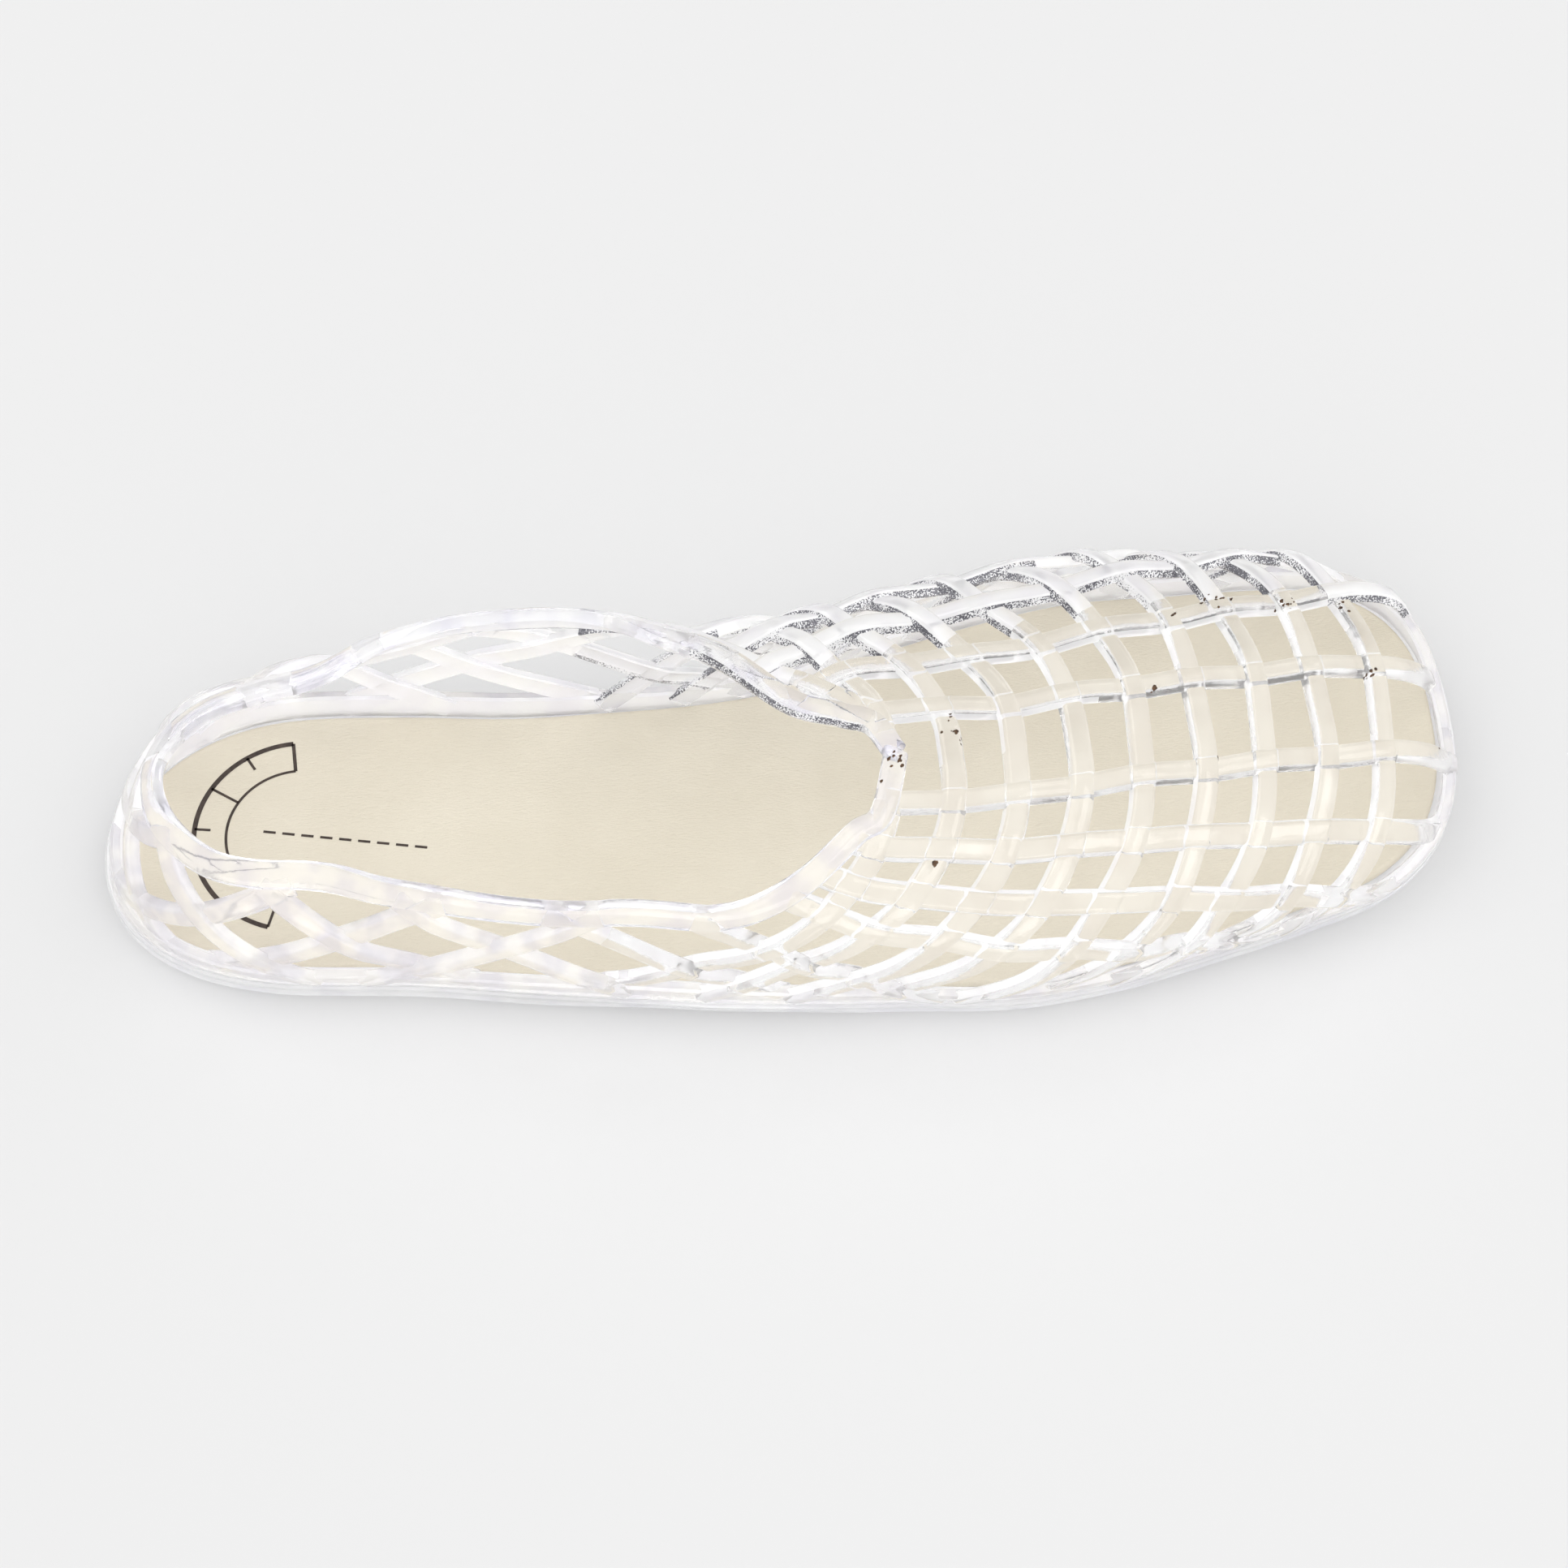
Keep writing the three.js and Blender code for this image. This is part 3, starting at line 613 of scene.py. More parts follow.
def swept(rings, profile, closed):
    """Rings of a profile of (across, out) points, carried along points of the upper's face."""
    count = len(rings)
    rows = []
    for i, ring in enumerate(rings):
        before = rings[(i - 1) % count if closed else max(i - 1, 0)].point
        after = rings[(i + 1) % count if closed else min(i + 1, count - 1)].point
        ahead = (after - before).normalized()
        across = ahead.cross(ring.normal).normalized()
        out = across.cross(ahead).normalized()
        rows.append([ring.point + across * (a * ring.wide) + out * o for a, o in profile])
    return rows


def loft_faces(count, size, closed):
    """Faces of a closed loft through count rings of size points, with flat ends if it is open."""
    faces = []
    for i in range(count if closed else count - 1):
        here = i * size
        following = ((i + 1) % count) * size
        for j in range(size):
            k = (j + 1) % size
            faces.append((here + j, here + k, following + k, following + j))
    if not closed:
        faces.append(tuple(range(size))[::-1])
        faces.append(tuple(range((count - 1) * size, count * size)))
    return faces


def plate_faces(levels, size):
    """Faces of a plate through rings round the sole's edge, from the top ring to the lowest."""
    faces = []
    for i in range(levels - 1):
        here = i * size
        for j in range(size):
            k = (j + 1) % size
            faces.append((here + j, here + size + j, here + size + k, here + k))
    low = (levels - 1) * size
    for j in range(size // 2):
        k = (size - j) % size
        m = size - j - 1
        if k != j:
            faces.append((j, j + 1, k))
            faces.append((low + j, low + k, low + j + 1))
        if m != j + 1:
            faces.append((k, j + 1, m))
            faces.append((low + k, low + m, low + j + 1))
    return faces


def stations(count, end):
    """Stations along the shoe, closer together at both ends."""
    near = min(0.02, end)
    between_ends = [end * (1 - math.cos(math.pi * i / count)) / 2 for i in range(1, count)]
    return [near] + between_ends + [end - near]


def loop(count, end):
    """Stations round the whole shoe: forward on the outer side, back on the inner side."""
    xs = stations(count, end)
    return [(x, OUTER) for x in xs] + [(x, INNER) for x in xs[1:count][::-1]]


def edge_ring(count, margin, height):
    """Points round the sole's edge, moved out by a margin, each at the height of its place."""
    points = [place(x, side, 0.0) for x, side in loop(count, LENGTH)]
    ring = []
    for i, point in enumerate(points):
        ahead = points[(i + 1) % len(points)] - points[i - 1]
        out = Vector((ahead.y, -ahead.x, 0.0)).normalized()
        moved = point + out * margin
        ring.append(Vector((moved.x, moved.y, height(moved.x))))
    return ring


def frame_shift():
    """What turns the forms' own place into that of the frame: the sole's box sets it."""
    ring = edge_ring(EDGE_STATIONS, SOLE_LIP, bed)
    low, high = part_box("outsole")
    middle_x = (min(p.x for p in ring) + max(p.x for p in ring)) / 2
    middle_y = (min(p.y for p in ring) + max(p.y for p in ring)) / 2
    return Vector(((low[0] + high[0]) / 2 - middle_x * MM, (low[1] + high[1]) / 2 - middle_y * MM, 0.0))


SHIFT = frame_shift()


def to_frame(point):
    return Vector(point) * MM + SHIFT


def linked(name, data):
    """A new object in the scene that holds a mesh, a lamp or a camera."""
    obj = bpy.data.objects.new(name, data)
    bpy.context.scene.collection.objects.link(obj)
    return obj


def new_object(name, points, faces, materials=(), kinds=()):
    """An object with a mesh through points given in millimetres of the forms' own place.

    The kinds are the material numbers of the faces; past the last kind the first come again.
    """
    mesh = bpy.data.meshes.new(name)
    mesh.from_pydata([to_frame(p) for p in points], [], faces)
    for material in materials:
        mesh.materials.append(material)
    if kinds:
        mesh.polygons.foreach_set("material_index", [kinds[i % len(kinds)] for i in range(len(faces))])
    outward = bmesh.new()
    outward.from_mesh(mesh)
    bmesh.ops.triangulate(outward, faces=[f for f in outward.faces if len(f.verts) > 4])
    bmesh.ops.recalc_face_normals(outward, faces=outward.faces)
    outward.to_mesh(mesh)
    outward.free()
    return linked(name, mesh)


def loft_object(name, rings, closed, materials=(), kinds=()):
    return new_object(name, [p for ring in rings for p in ring],
                      loft_faces(len(rings), len(rings[0]), closed), materials, kinds)


def plate_object(name, rings):
    return new_object(name, [p for ring in rings for p in ring], plate_faces(len(rings), len(rings[0])))


def joined(name, first, others, operation="UNION"):
    """One mesh object made of solids joined, or of the first cut by the others."""
    current = first
    for other in others:
        change = current.modifiers.new("join", "BOOLEAN")
        change.operation = operation
        change.solver = "MANIFOLD"
        change.object = other
    graph = bpy.context.evaluated_depsgraph_get()
    mesh = bpy.data.meshes.new_from_object(current.evaluated_get(graph), depsgraph=graph)
    for old in [first, *others]:
        bpy.data.objects.remove(old)
    mesh.name = name
    return linked(name, mesh)


def shade(obj, angle):
    """Smooth shading with sharp edges above an angle."""
    obj.data.polygons.foreach_set("use_smooth", [True] * len(obj.data.polygons))
    obj.data.set_sharp_from_angle(angle=math.radians(angle))


# Materials of the clear net, in their order on the mesh: clear skin; hazy white edges, a painted
# highlight on the sides turned to the back-left lamp and on the far side; edges with a grey speckle of
# painted shade that stands for the dark which the clear plastic reflects; frosted faces, which on the
# far wall are a whiter copy that stands for its bright light (painted light); the cord of the rim; and
# the pearly wall of heel and foot band.
SKIN, WHITE_EDGE_AND_HIGHLIGHT, SHADE_STREAK, FROST_AND_PAINTED_LIGHT, CORD, PEARL = range(6)
NET_MATERIALS = []

# Where the painted shade (grey speckled streaks) and the painted highlights (white edges) go: from
# which turn to the inner side, which changes along the length, on which sides of a strip, and on which
# stretch of the rim.
FAR_TILT = 0.15
FAR_SLOPE = 0.0016
FAR_MIDDLE = 175.0
SHADE_STREAK_TOWARD = Vector((-0.6, -0.8, 0.0))
HIGHLIGHT_TOWARD = Vector((-0.5, 0.85, 0.0))
TOWARD_SHARE = 0.15
SHADE_STREAKED_RIM = (112.0, 141.0)


def strip_profile():
    """Section of a strip with soft corners, from one foot over the flat face to the other foot."""
    base = STRIP_WIDTH / 2
    face = STRIP_FACE / 2
    soft = STRIP_SOFT
    half = [(base - soft, -STRIP_THICK), (base, soft - STRIP_THICK), (face + soft, -soft * 2),
            (face, -soft * 0.7), (face - soft * 1.6, 0.0)]
    return half + [(-a, o) for a, o in half[::-1]]


def facing_inner(ring):
    """How far a ring faces the inner side; near the throat the same turn counts for more."""
    return ring.normal.y - FAR_SLOPE * (ring.point.x - FAR_MIDDLE)


def side_kinds(ring, out):
    """Materials of one side of a strip, from its foot to its face; out points away from it."""
    if ring.point.x < THROAT_START * LENGTH:
        # Behind the throat the far (inner) wall is the whiter frost, painted light for its blown-out
        # white; the near wall is pearly.
        return (FROST_AND_PAINTED_LIGHT if ring.normal.y > 0 else PEARL,) * 3
    tilt = facing_inner(ring)
    # Sides turned front-left get the grey speckle of painted shade.
    shade_streaked = out.dot(SHADE_STREAK_TOWARD) > TOWARD_SHARE
    # On the far side the sides without the painted shade are all white: a painted highlight.
    if tilt > FAR_TILT:
        return (SHADE_STREAK, SHADE_STREAK, WHITE_EDGE_AND_HIGHLIGHT) if shade_streaked else (WHITE_EDGE_AND_HIGHLIGHT,) * 3
    if tilt > 0 and shade_streaked:
        return SHADE_STREAK, WHITE_EDGE_AND_HIGHLIGHT, SKIN
    if tilt < -FAR_TILT:
        # On the near side only the sides turned to the back-left lamp get the white painted highlight.
        highlighted = out.dot(HIGHLIGHT_TOWARD) > TOWARD_SHARE
        return (WHITE_EDGE_AND_HIGHLIGHT, WHITE_EDGE_AND_HIGHLIGHT, SKIN) if highlighted else (SKIN,) * 3
    return WHITE_EDGE_AND_HIGHLIGHT, SKIN, SKIN


def strip_kinds(ring, across):
    """Material of each side of a strip at a ring, in the order of the profile."""
    if ring.point.x < THROAT_START * LENGTH:
        top = PEARL
        # The far wall's undersides behind the throat are the whiter frost: painted light.
        under = FROST_AND_PAINTED_LIGHT if ring.normal.y > 0 else PEARL
    else:
        # On the far side the flat top is the whiter frost: painted light.
        top = FROST_AND_PAINTED_LIGHT if facing_inner(ring) > FAR_TILT else SKIN
        under = SKIN
    return [*side_kinds(ring, across), top, top, top, *side_kinds(ring, -across)[::-1], under]


def free_of_rim(x, side, w):
    """How far a stop is clear of the rim: 0 under it, 1 from some way off."""
    if x / LENGTH > THROAT_END:
        return 1.0
    return smooth((collar_girth(x, side) - w - RIM_WIDTH * RIM_SEAT) / RIM_WIDTH)


def strip_object(number, strip, marks):
    """One strip of the net: a flat-faced bar with bevelled sides that dips and rises."""
    places = sorted({0.0, float(len(strip) - 1), *(mark[0] for mark in marks)})
    at = []
    for first, last in zip(places, places[1:]):
        points = [place(*between(strip, first + (last - first) * i / 6)) for i in range(7)]
        span = sum((b - a).length for a, b in zip(points, points[1:]))
        parts = max(1, round(span / STRIP_STEP))
        at += [first + (last - first) * k / parts for k in range(parts)]
    at.append(places[-1])

    def lift(value):
        if not marks:
            return 0.0
        if value <= marks[0][0]:
            return marks[0][1]
        if value >= marks[-1][0]:
            return marks[-1][1]
        i = next(k for k in range(1, len(marks)) if marks[k][0] >= value)
        (a, low), (b, high) = marks[i - 1], marks[i]
        return low + (high - low) * smooth((value - a) / max(b - a, 1e-6))

    rings = []
    for value in at:
        spot = between(strip, value)
        rings.append(ring_at(*spot, out=WEAVE_LIFT * lift(value) * free_of_rim(*spot)))
    rows = swept(rings, strip_profile(), closed=False)
    kinds = []
    for ring, row in zip(rings[:-1], rows):
        kinds += strip_kinds(ring, (row[1] - row[-2]).normalized())
    return loft_object(f"strip_{number}", rows, False, NET_MATERIALS, kinds + [WHITE_EDGE_AND_HIGHLIGHT] * 2)


def rim_object():
    """The smooth rim round the opening, a little narrower at the throat."""
    narrow = 1 - RIM_THROAT / RIM_WIDTH
    rings, shade_streaked = [], []
    for x, side in loop(RIM_STATIONS, THROAT_END * LENGTH):
        # A stretch of the inner rim gets the grey speckle of painted shade.
        shade_streaked.append(side == INNER and SHADE_STREAKED_RIM[0] < x < SHADE_STREAKED_RIM[1])
        wide = 1 - narrow * passed(x, THROAT_START, THROAT_END)
        rings.append(ring_at(x, side, collar_girth(x, side), wide=wide))
    half = RIM_WIDTH / 2
    out = RIM_THICK - STRIP_THICK
    middle_out = out - RIM_THICK / 2
    profile = []
    for k in range(RIM_POINTS):
        angle = -2 * math.pi * (k + 0.5) / RIM_POINTS
        c, s = math.cos(angle), math.sin(angle)
        reach = (abs(c) ** RIM_SQUARE + abs(s) ** RIM_SQUARE) ** (-1 / RIM_SQUARE)
        profile.append((half * c * reach, middle_out + RIM_THICK / 2 * s * reach))
    plain = [CORD] * (RIM_POINTS // 2 - 1)
    kinds = []
    for in_shade in shade_streaked:
        kinds += plain + [SHADE_STREAK if in_shade else CORD] * 2 + plain
    return loft_object("rim", swept(rings, profile, closed=True), True, NET_MATERIALS, kinds)


def band_object():
    """The low wall round the foot of the net; its section starts at the foot, its top is soft."""
    rings = [ring_at(x, side, CLEARANCE + BAND_HEIGHT / 2) for x, side in loop(BAND_STATIONS, LENGTH)]
    half = BAND_HEIGHT / 2
    soft = BAND_SOFT
    profile = [(half, -BAND_THICK), (soft - half, -BAND_THICK), (-half, soft - BAND_THICK),
               (-half, -soft), (soft - half, 0.0), (half, 0.0)]
    kinds = [FROST_AND_PAINTED_LIGHT, FROST_AND_PAINTED_LIGHT, PEARL, PEARL, PEARL, SKIN]
    return loft_object("band", swept(rings, profile, closed=True), True, NET_MATERIALS, kinds)


def make_upper():
    strips = [strip_object(i, strip, marks)
              for i, (strip, marks) in enumerate(weave(*net_strips()))]
    whole = joined("upper_net", rim_object(), [band_object(), *strips])
    below = BAND_HEIGHT * 2
    ground = plate_object("ground", [
        edge_ring(EDGE_STATIONS, below, lambda x: bed(x) + CLEARANCE),
        edge_ring(EDGE_STATIONS, below, lambda x: bed(x) - below),
    ])
    return joined("upper_net", whole, [ground], "DIFFERENCE")


def lug_object(number, start):
    """One cross bar of the tread."""
    parts = 4
    rows = []
    for i in range(parts + 1):
        x = start + LUG_LENGTH * i / parts
        low = toe_spring(x)
        high = sole_bottom(x) + LUG_DEPTH / 2
        inset = {side: place(x, side, 0.0).y - side * LUG_INSET for side in (OUTER, INNER)}
        rows.append([Vector((x, inset[side], z))
                     for side, z in ((OUTER, low), (INNER, low), (INNER, high), (OUTER, high))])
    return loft_object(f"lug_{number}", rows, False)


def make_outsole():
    def ring(margin, share):
        return edge_ring(EDGE_STATIONS, margin, lambda x: bed(x) + (sole_bottom(x) - bed(x)) * share)

    plate = plate_object("outsole_clear", [
        ring(SOLE_LIP * 0.55, 0.0),
        ring(SOLE_LIP, 0.07),
        ring(SOLE_LIP, 0.26),
        ring(SOLE_LIP - GROOVE_DEPTH, 0.34),
        ring(SOLE_LIP - GROOVE_DEPTH, 0.52),
        ring(SOLE_LIP, 0.60),
        ring(SOLE_LIP * 0.4, 0.72),
        ring(-SOLE_TUCK * 0.5, 0.90),
        ring(-SOLE_TUCK, 1.0),
    ])
    lugs = []
    for start, end in TREAD:
        x = start * LENGTH
        while x + LUG_LENGTH <= end * LENGTH:
            lugs.append(lug_object(len(lugs), x))
            x += LUG_PITCH
    return joined("outsole_clear", plate, lugs)


def insole_top(x):
    return bed(x) + CLEARANCE + INSOLE_THICK


def make_insole():
    margin = -(max(BAND_THICK, STRIP_THICK + SOLID_LIFT) + CLEARANCE)
    soft = INSOLE_THICK * INSOLE_ROUND
    rings = []
    for k in range(ROUND_STEPS + 1):
        angle = math.pi / 2 * k / ROUND_STEPS
        inward = margin - soft * (1 - math.sin(angle))
        drop = soft * (1 - math.cos(angle))
        rings.append(edge_ring(EDGE_STATIONS, inward, lambda x, d=drop: insole_top(x) - d))
    rings.append(edge_ring(EDGE_STATIONS, margin, lambda x: bed(x) + CLEARANCE))
    return plate_object("insole_sock", rings)


def node(tree, kind, place_at=(0, 0), **values):
    made = tree.nodes.new(kind)
    made.location = place_at
    for name, value in values.items():
        setattr(made, name, value)
    return made


def new_material(name):
    material = bpy.data.materials.new(name)
    material.use_nodes = True
    tree = material.node_tree
    tree.nodes.clear()
    output = node(tree, "ShaderNodeOutputMaterial", (900, 0))
    shader = node(tree, "ShaderNodeBsdfPrincipled", (400, 0))
    tree.links.new(shader.outputs["BSDF"], output.inputs["Surface"])
    return material, tree, shader, output


def noise_node(tree, scale, detail=3.0, roughness=0.5, stretch=None):
    """A noise texture in the object's own metres, stretched along its axes if asked."""
    place_node = node(tree, "ShaderNodeTexCoord", (-900, 0))
    source = place_node.outputs["Object"]
    if stretch:
        mapping = node(tree, "ShaderNodeMapping", (-700, 0))
        mapping.inputs["Scale"].default_value = stretch
        tree.links.new(source, mapping.inputs["Vector"])
        source = mapping.outputs["Vector"]
    made = node(tree, "ShaderNodeTexNoise", (-500, 0))
    made.inputs["Scale"].default_value = scale
    made.inputs["Detail"].default_value = detail
    made.inputs["Roughness"].default_value = roughness
    tree.links.new(source, made.inputs["Vector"])
    return made.outputs["Fac"]


def ramp_node(tree, source, stops):
    """A colour ramp over a value: stops are (place, colour)."""
    ramp = node(tree, "ShaderNodeValToRGB", (-200, 200))
    elements = ramp.color_ramp.elements
    elements[0].position, elements[0].color = stops[0][0], (*stops[0][1], 1)
    elements[1].position, elements[1].color = stops[-1][0], (*stops[-1][1], 1)
    for position, colour in stops[1:-1]:
        element = elements.new(position)
        element.color = (*colour, 1)
    tree.links.new(source, ramp.inputs["Fac"])
    return ramp.outputs["Color"]


def range_node(tree, source, low, high):
    """A value carried from 0..1 to low..high."""
    made = node(tree, "ShaderNodeMapRange", (-200, -100))
    made.inputs["To Min"].default_value = low
    made.inputs["To Max"].default_value = high
    tree.links.new(source, made.inputs["Value"])
    return made.outputs["Result"]


def bump_node(tree, shader, layers):
    """Relief on a shader: layers are (height source, strength, distance in metres)."""
    before = None
    for source, strength, distance in layers:
        bump = node(tree, "ShaderNodeBump", (100, -300))
        bump.inputs["Strength"].default_value = strength
        bump.inputs["Distance"].default_value = distance
        tree.links.new(source, bump.inputs["Height"])
        if before:
            tree.links.new(before, bump.inputs["Normal"])
        before = bump.outputs["Normal"]
    tree.links.new(before, shader.inputs["Normal"])


# Clear plastic: its refraction, the light that it lets through in shadow, and the noise scales of
# its patches of gloss, its moulded waves and its fine grain.
PLASTIC_IOR = 1.49
SHADOW_PASS = (0.94, 0.94, 0.95, 1)
GLOSS_PATCHES = 260
MOULD_WAVES = 220
FINE_GRAIN = 2400
BLOT_SHARE = 0.3


def clear_material(name, haze, roughness, cloud, cloud_scale=130, plain=(1.0, 1.0, 1.0)):
    """Clear soft plastic: tinted clouds, a wavy moulded skin, and light passing in shadow."""
    material, tree, shader, output = new_material(name)
    clouds = noise_node(tree, cloud_scale, detail=2.0)
    colour = ramp_node(tree, clouds, ((0.44, plain), (0.60, cloud)))
    tree.links.new(colour, shader.inputs["Base Color"])
    rough = range_node(tree, noise_node(tree, GLOSS_PATCHES, detail=4.0), *roughness)
    tree.links.new(rough, shader.inputs["Roughness"])
    shader.inputs["IOR"].default_value = PLASTIC_IOR
    shader.inputs["Transmission Weight"].default_value = 1 - haze
    bump_node(tree, shader, (
        (noise_node(tree, MOULD_WAVES, detail=2.0), 0.2, 0.0006),
        (noise_node(tree, FINE_GRAIN, detail=3.0), 0.04, 0.0005),
    ))
    clear = node(tree, "ShaderNodeBsdfTransparent", (400, 300))
    clear.inputs["Color"].default_value = SHADOW_PASS
    path = node(tree, "ShaderNodeLightPath", (400, 600))
    mix = node(tree, "ShaderNodeMixShader", (700, 100))
    tree.links.new(path.outputs["Is Shadow Ray"], mix.inputs[0])
    tree.links.new(shader.outputs["BSDF"], mix.inputs[1])
    tree.links.new(clear.outputs["BSDF"], mix.inputs[2])
    tree.links.new(mix.outputs["Shader"], output.inputs["Surface"])
    return material


def shade_streak_material():
    """Clear plastic with a dense grey speckle of painted shade, part of it gathered in blots."""
    material = clear_material("clear_shade_streak", 0.55, (0.10, 0.22), (1.0, 1.0, 1.0))
    tree = material.node_tree
    shader = tree.nodes["Principled BSDF"]
    share = node(tree, "ShaderNodeMath", (-500, 300), operation="MULTIPLY")
    share.inputs[1].default_value = BLOT_SHARE
    tree.links.new(noise_node(tree, 240, detail=0.0), share.inputs[0])
    mixed = node(tree, "ShaderNodeMath", (-350, 300), operation="MULTIPLY_ADD")
    mixed.inputs[1].default_value = 1 - BLOT_SHARE
    tree.links.new(noise_node(tree, 3400, detail=2.0), mixed.inputs[0])
    tree.links.new(share.outputs["Value"], mixed.inputs[2])
    # The dark grains are painted shade, standing for the dark that the clear plastic reflects.
    speckle = ((0.46, (0.97, 0.97, 0.98)), (0.52, (0.09, 0.09, 0.11)))
    colour = ramp_node(tree, mixed.outputs["Value"], speckle)
    tree.links.new(colour, shader.inputs["Base Color"])
    return material


def insole_material():
    """Cream imitation leather with a fine crosswise wrinkle."""
    material, tree, shader, _ = new_material("cream_leather")
    tone = noise_node(tree, 40, detail=4.0)
    colour = ramp_node(tree, tone, ((0.30, (0.672, 0.618, 0.505)), (0.70, (0.718, 0.665, 0.552))))
    tree.links.new(colour, shader.inputs["Base Color"])
    shader.inputs["Specular IOR Level"].default_value = 0.3
    rough = range_node(tree, noise_node(tree, 500, detail=3.0), 0.50, 0.68)
    tree.links.new(rough, shader.inputs["Roughness"])
    wrinkle = noise_node(tree, 1.0, detail=3.0, roughness=0.6, stretch=(1000, 3000, 300))
    pore = noise_node(tree, 2600, detail=2.0)
    bump_node(tree, shader, ((wrinkle, 0.8, 0.0002), (pore, 0.2, 0.00004)))
    return material


def print_material():
    """Dark brown printing ink, a little uneven."""
    material, tree, shader, _ = new_material("brown_ink")
    tone = noise_node(tree, 900, detail=3.0)
    colour = ramp_node(tree, tone, ((0.35, (0.030, 0.019, 0.014)), (0.70, (0.060, 0.040, 0.030))))
    tree.links.new(colour, shader.inputs["Base Color"])
    shader.inputs["Roughness"].default_value = 0.6
    bump_node(tree, shader, ((noise_node(tree, 2600), 0.2, 0.00003),))
    return material


def floor_material():
    """A pale table lit a little from below, so that it carries only faint shadows."""
    material, tree, shader, _ = new_material("pale_floor")
    shader.inputs["Base Color"].default_value = (0.62, 0.62, 0.62, 1)
    shader.inputs["Emission Color"].default_value = (1.0, 1.0, 1.0, 1)
    shader.inputs["Emission Strength"].default_value = 0.135
    shader.inputs["Roughness"].default_value = 0.9
    shader.inputs["Specular IOR Level"].default_value = 0.1
    return material


# Plain print on the insole near the heel: part of a dial, and a row of dashes beside it.
DIAL_AT = (36.0, 4.0)
DIAL_OUT = 20.0
DIAL_IN = 14.0
DIAL_FROM = math.radians(92)
DIAL_TO = math.radians(250)
DIAL_STEPS = 48
DIAL_BOLD = 1.8
DIAL_TICKS = 7
FIRST_TICK = 1.3
PRINT_LINE = 0.52
PRINT_RISE = 0.04
DASHES_FROM = (28.5, 5.6)
DASHES_TO = (60.0, -0.7)
DASHES = 9
DASH_PART = (0.15, 0.8)


def flat_line(points, width):
    """Corner points and faces of a flat line of a width along points on the insole."""
    left, right = [], []
    count = len(points)
    for i, (x, y) in enumerate(points):
        bx, by = points[max(i - 1, 0)]
        ax, ay = points[min(i + 1, count - 1)]
        length = math.hypot(ax - bx, ay - by)
        nx, ny = -(ay - by) / length, (ax - bx) / length
        for side, edge in ((0.5, left), (-0.5, right)):
            px = x + nx * width * side
            edge.append((px, y + ny * width * side, insole_top(px) + PRINT_RISE))
    corners = left + right
    faces = [(count + i, count + i + 1, i + 1, i) for i in range(count - 1)]
    return corners, faces


def dial_point(radius, angle):
    return DIAL_AT[0] + radius * math.cos(angle), DIAL_AT[1] + radius * math.sin(angle)


def dial_angle(share):
    return DIAL_FROM + (DIAL_TO - DIAL_FROM) * share


def make_print():
    """The print as one flat mesh that lies just above the insole."""
    lines = []
    for radius, width in ((DIAL_OUT, PRINT_LINE * DIAL_BOLD), (DIAL_IN, PRINT_LINE)):
        arc = [dial_point(radius, dial_angle(i / DIAL_STEPS)) for i in range(DIAL_STEPS + 1)]
        lines.append(flat_line(arc, width))
    for k in range(DIAL_TICKS):
        angle = dial_angle(k / (DIAL_TICKS - 1))
        start = DIAL_IN if k % 2 == 0 else (DIAL_IN + DIAL_OUT) / 2
        ends = [dial_point(start, angle), dial_point(DIAL_OUT, angle)]
        lines.append(flat_line(ends, PRINT_LINE * (FIRST_TICK if k == 0 else 1.0)))
    (x0, y0), (x1, y1) = DASHES_FROM, DASHES_TO
    for k in range(DASHES):
        ends = [(x0 + (x1 - x0) * (k + part) / DASHES, y0 + (y1 - y0) * (k + part) / DASHES)
                for part in DASH_PART]
        lines.append(flat_line(ends, PRINT_LINE))
    points, faces = [], []
    for corners, quads in lines:
        start = len(points)
        points += corners
        faces += [tuple(start + i for i in quad) for quad in quads]
    mesh = bpy.data.meshes.new("insole_print")
    mesh.from_pydata([to_frame(p) for p in points], [], faces)
    return linked("insole_print", mesh)


# Dirt on the net: clusters of specks, each at a length along the shoe, on a side and so far down
# from the ridge, with its reach and number.
Dirt = namedtuple("Dirt", "x side down reach count")
DIRT = (
    Dirt(145, OUTER, 2.5, 3.2, 12),
    Dirt(157, INNER, 3.5, 3.4, 14),
    Dirt(156, INNER, 7.0, 1.0, 4),
    Dirt(201, INNER, 33.0, 1.5, 6),
    Dirt(208, INNER, 26.5, 2.4, 10),
    Dirt(222, INNER, 23.0, 2.0, 9),
    Dirt(233, INNER, 22.0, 1.6, 6),
    Dirt(200, INNER, 22.7, 1.0, 4),
    Dirt(194, INNER, 7.9, 0.9, 4),
    Dirt(236, INNER, 6.6, 2.0, 9),
    Dirt(248, INNER, 1.5, 2.6, 10),
    Dirt(249, OUTER, 5.0, 3.4, 14),
    Dirt(150, OUTER, 22.8, 0.8, 3),
    Dirt(204, OUTER, 8.0, 0.6, 2),
)
DIRT_SEED = 7
SPECK_RADIUS = (0.18, 0.62)
SPECK_CORNERS = 7
SPECK_UNEVEN = (0.6, 1.3)
SPECK_NARROW = 0.7
SPECK_HEIGHT = 0.10

# Each speck is dropped on the net from a height, so far down, on a face that looks up enough.
DROP_FROM = 3
DROP_REACH = 5
FACE_ENOUGH = 0.3


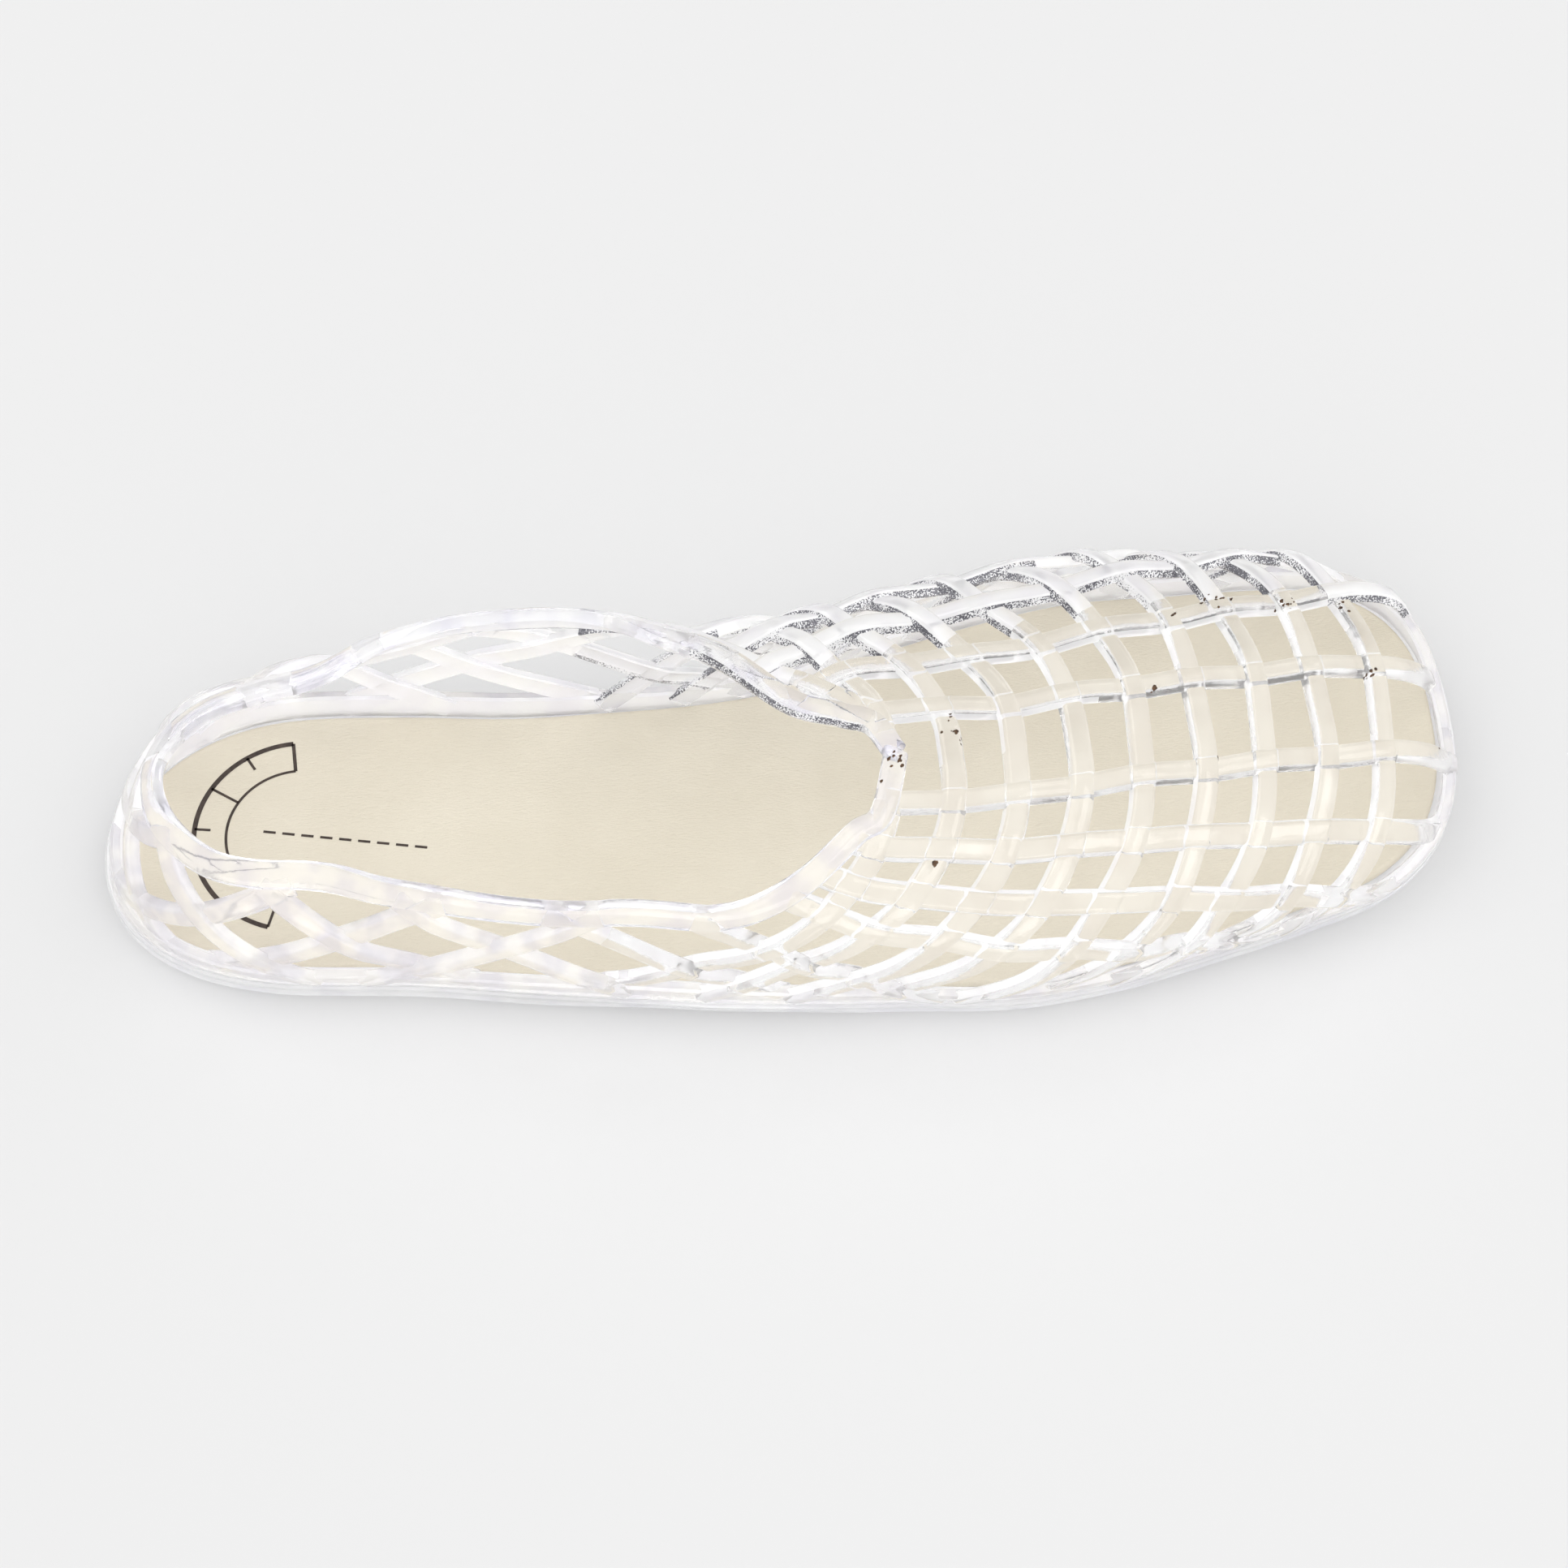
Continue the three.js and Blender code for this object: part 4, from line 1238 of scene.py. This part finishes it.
def make_dirt(net):
    """Specks that lie on the net's own faces, as small flat domes; none hangs in a gap."""
    points, faces = [], []
    chance = random.Random(DIRT_SEED)
    tree = BVHTree.FromPolygons([v.co for v in net.data.vertices],
                                [tuple(f.vertices) for f in net.data.polygons])
    for dirt in DIRT:
        for _ in range(dirt.count):
            x = min(dirt.x + chance.gauss(0, dirt.reach / 2), LENGTH - 1)
            w = girth_of(x, dirt.side) - dirt.down + chance.gauss(0, dirt.reach / 2)
            normal = normal_at(x, dirt.side, w)
            above = place(x, dirt.side, w) + normal * DROP_FROM
            hit, face_normal, _, _ = tree.ray_cast(to_frame(above), -normal, DROP_REACH * MM)
            if hit is None or face_normal.dot(normal) < FACE_ENOUGH:
                continue
            radius = chance.uniform(*SPECK_RADIUS)
            aside = face_normal.orthogonal().normalized()
            along_it = face_normal.cross(aside)
            start = len(points)
            points.append(hit + face_normal * SPECK_HEIGHT * MM)
            for k in range(SPECK_CORNERS):
                angle = 2 * math.pi * k / SPECK_CORNERS
                reach = radius * chance.uniform(*SPECK_UNEVEN) * MM
                corner = aside * math.cos(angle) + along_it * math.sin(angle) * SPECK_NARROW
                points.append(hit + corner * reach)
                faces.append((start, start + 1 + k, start + 1 + (k + 1) % SPECK_CORNERS))
    mesh = bpy.data.meshes.new("dirt_specks")
    mesh.from_pydata(points, [], faces)
    return linked("dirt_specks", mesh)


def dirt_material():
    """Dark brown dirt."""
    material, tree, shader, _ = new_material("brown_dirt")
    tone = noise_node(tree, 1600, detail=2.0)
    colour = ramp_node(tree, tone, ((0.35, (0.035, 0.018, 0.010)), (0.70, (0.140, 0.070, 0.030))))
    tree.links.new(colour, shader.inputs["Base Color"])
    shader.inputs["Roughness"].default_value = 0.7
    return material


# Camera: its angle to the shoe, and the picture point and scale of the point that it aims at.
PICTURE = 1932.0
CAMERA_AZIMUTH = math.radians(-5.0)
CAMERA_ELEVATION = math.radians(60.0)
CAMERA_DISTANCE = 900.0
CAMERA_TARGET = (126.0, 0.0, 15.0)
TARGET_PIXEL = (966.0, 985.0)
PIXELS_PER_MM = 6.64


def make_camera():
    a, e = CAMERA_AZIMUTH, CAMERA_ELEVATION
    back = Vector((math.sin(a) * math.cos(e), -math.cos(a) * math.cos(e), math.sin(e)))
    right = Vector((math.cos(a), math.sin(a), 0.0))
    up = back.cross(right)
    lowered = (TARGET_PIXEL[1] - PICTURE / 2) / PIXELS_PER_MM
    aside = (TARGET_PIXEL[0] - PICTURE / 2) / PIXELS_PER_MM
    eye = to_frame(CAMERA_TARGET) + (back * CAMERA_DISTANCE + up * lowered - right * aside) * MM
    data = bpy.data.cameras.new("camera")
    data.sensor_width = 36.0
    data.lens = PIXELS_PER_MM * CAMERA_DISTANCE / PICTURE * data.sensor_width
    data.clip_start = 0.01
    data.clip_end = 20
    camera = linked("camera", data)
    camera.matrix_world = Matrix.Translation(eye) @ Matrix((right, up, back)).transposed().to_4x4()
    bpy.context.scene.camera = camera


def toward(azimuth, elevation):
    """Direction at an azimuth from the front and an elevation, in degrees."""
    a, e = math.radians(azimuth), math.radians(elevation)
    return Vector((math.sin(a) * math.cos(e), -math.cos(a) * math.cos(e), math.sin(e)))


LIGHT_DISTANCE = 1.5


def area_light(name, azimuth, elevation, size, radiance):
    """A soft box of a width and height that looks at the shoe; the camera doesn't see it."""
    data = bpy.data.lights.new(name, "AREA")
    data.shape = "RECTANGLE"
    data.size, data.size_y = size
    data.energy = radiance * math.pi * size[0] * size[1]
    light = linked(name, data)
    light.location = toward(azimuth, elevation) * LIGHT_DISTANCE
    light.rotation_euler = toward(azimuth, elevation).to_track_quat("Z", "Y").to_euler()
    light.visible_camera = False


# The studio is evenly lit all round, and dim in one direction, low at the back.
DIM_TOWARD = toward(185, 15)
DIM_INSIDE = 0.88
DIM_OUTSIDE = 0.66
DIM_LIGHT = 0.02
STUDIO_LIGHT = 1.05


def make_world():
    world = bpy.data.worlds.new("studio")
    world.use_nodes = True
    tree = world.node_tree
    place_node = node(tree, "ShaderNodeTexCoord", (-800, 0))
    dot = node(tree, "ShaderNodeVectorMath", (-600, 0), operation="DOT_PRODUCT")
    dot.inputs[1].default_value = DIM_TOWARD
    fade = node(tree, "ShaderNodeMapRange", (-300, 0), interpolation_type="SMOOTHSTEP")
    fade.inputs["From Min"].default_value = DIM_OUTSIDE
    fade.inputs["From Max"].default_value = DIM_INSIDE
    fade.inputs["To Min"].default_value = STUDIO_LIGHT
    fade.inputs["To Max"].default_value = DIM_LIGHT
    tree.links.new(place_node.outputs["Generated"], dot.inputs[0])
    tree.links.new(dot.outputs["Value"], fade.inputs["Value"])
    background = tree.nodes["Background"]
    background.inputs["Color"].default_value = (1.0, 1.0, 1.0, 1)
    tree.links.new(fade.outputs["Result"], background.inputs["Strength"])
    bpy.context.scene.world = world


FLOOR_REACH = 4.0


def make_floor():
    mesh = bpy.data.meshes.new("floor")
    corners = [(x * FLOOR_REACH, y * FLOOR_REACH, 0) for x, y in ((-1, -1), (1, -1), (1, 1), (-1, 1))]
    mesh.from_pydata(corners, [], [(0, 1, 2, 3)])
    floor = linked("floor", mesh)
    floor.data.materials.append(floor_material())


def dress(obj, slot_name, *materials):
    """Materials of a piece, if any are given, and its body; slot_name is not used."""
    if materials:
        obj.data.materials.clear()
        for material in materials:
            obj.data.materials.append(material)
    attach(obj, "root")


bpy.context.scene.view_settings.view_transform = "Standard"
make_camera()
make_world()
make_floor()
area_light("left_box", -140, 45, (0.8, 0.8), 1.7)
area_light("right_box", 75, 55, (0.9, 0.7), 1.9)
area_light("front_box", -10, 15, (1.4, 0.6), 1.7)

NET_MATERIALS += [
    clear_material("clear_skin", 0.08, (0.04, 0.12), (0.955, 0.945, 0.940)),
    # Hazy white edges; where they are placed by the way they face, they are a painted highlight.
    clear_material("clear_edge_and_highlight", 0.58, (0.08, 0.20), (0.975, 0.965, 0.980)),
    # Grey speckle of painted shade.
    shade_streak_material(),
    # Frost: a whiter copy of the clear plastic, painted light where it is put on the far wall.
    clear_material("clear_frost_and_painted_light", 0.52, (0.14, 0.26), (0.965, 0.955, 0.985)),
    clear_material("clear_cord", 0.16, (0.04, 0.12), (0.885, 0.875, 0.940), cloud_scale=190),
    clear_material("clear_pearl", 0.30, (0.08, 0.20), (0.845, 0.825, 0.855), cloud_scale=150,
                   plain=(0.985, 0.965, 0.930)),
]
upper = make_upper()
shade(upper, 32)
dress(upper, "clear_upper")
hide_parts("upper")

dress(make_dirt(upper), "clear_upper", dirt_material())

outsole = make_outsole()
shade(outsole, 32)
dress(outsole, "clear_sole", clear_material("clear_sole", 0.50, (0.08, 0.22), (0.955, 0.950, 0.975)))
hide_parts("outsole")

insole = make_insole()
shade(insole, 40)
dress(insole, "insole_cover", insole_material())
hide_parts("insole")

dress(make_print(), "insole_cover", print_material())
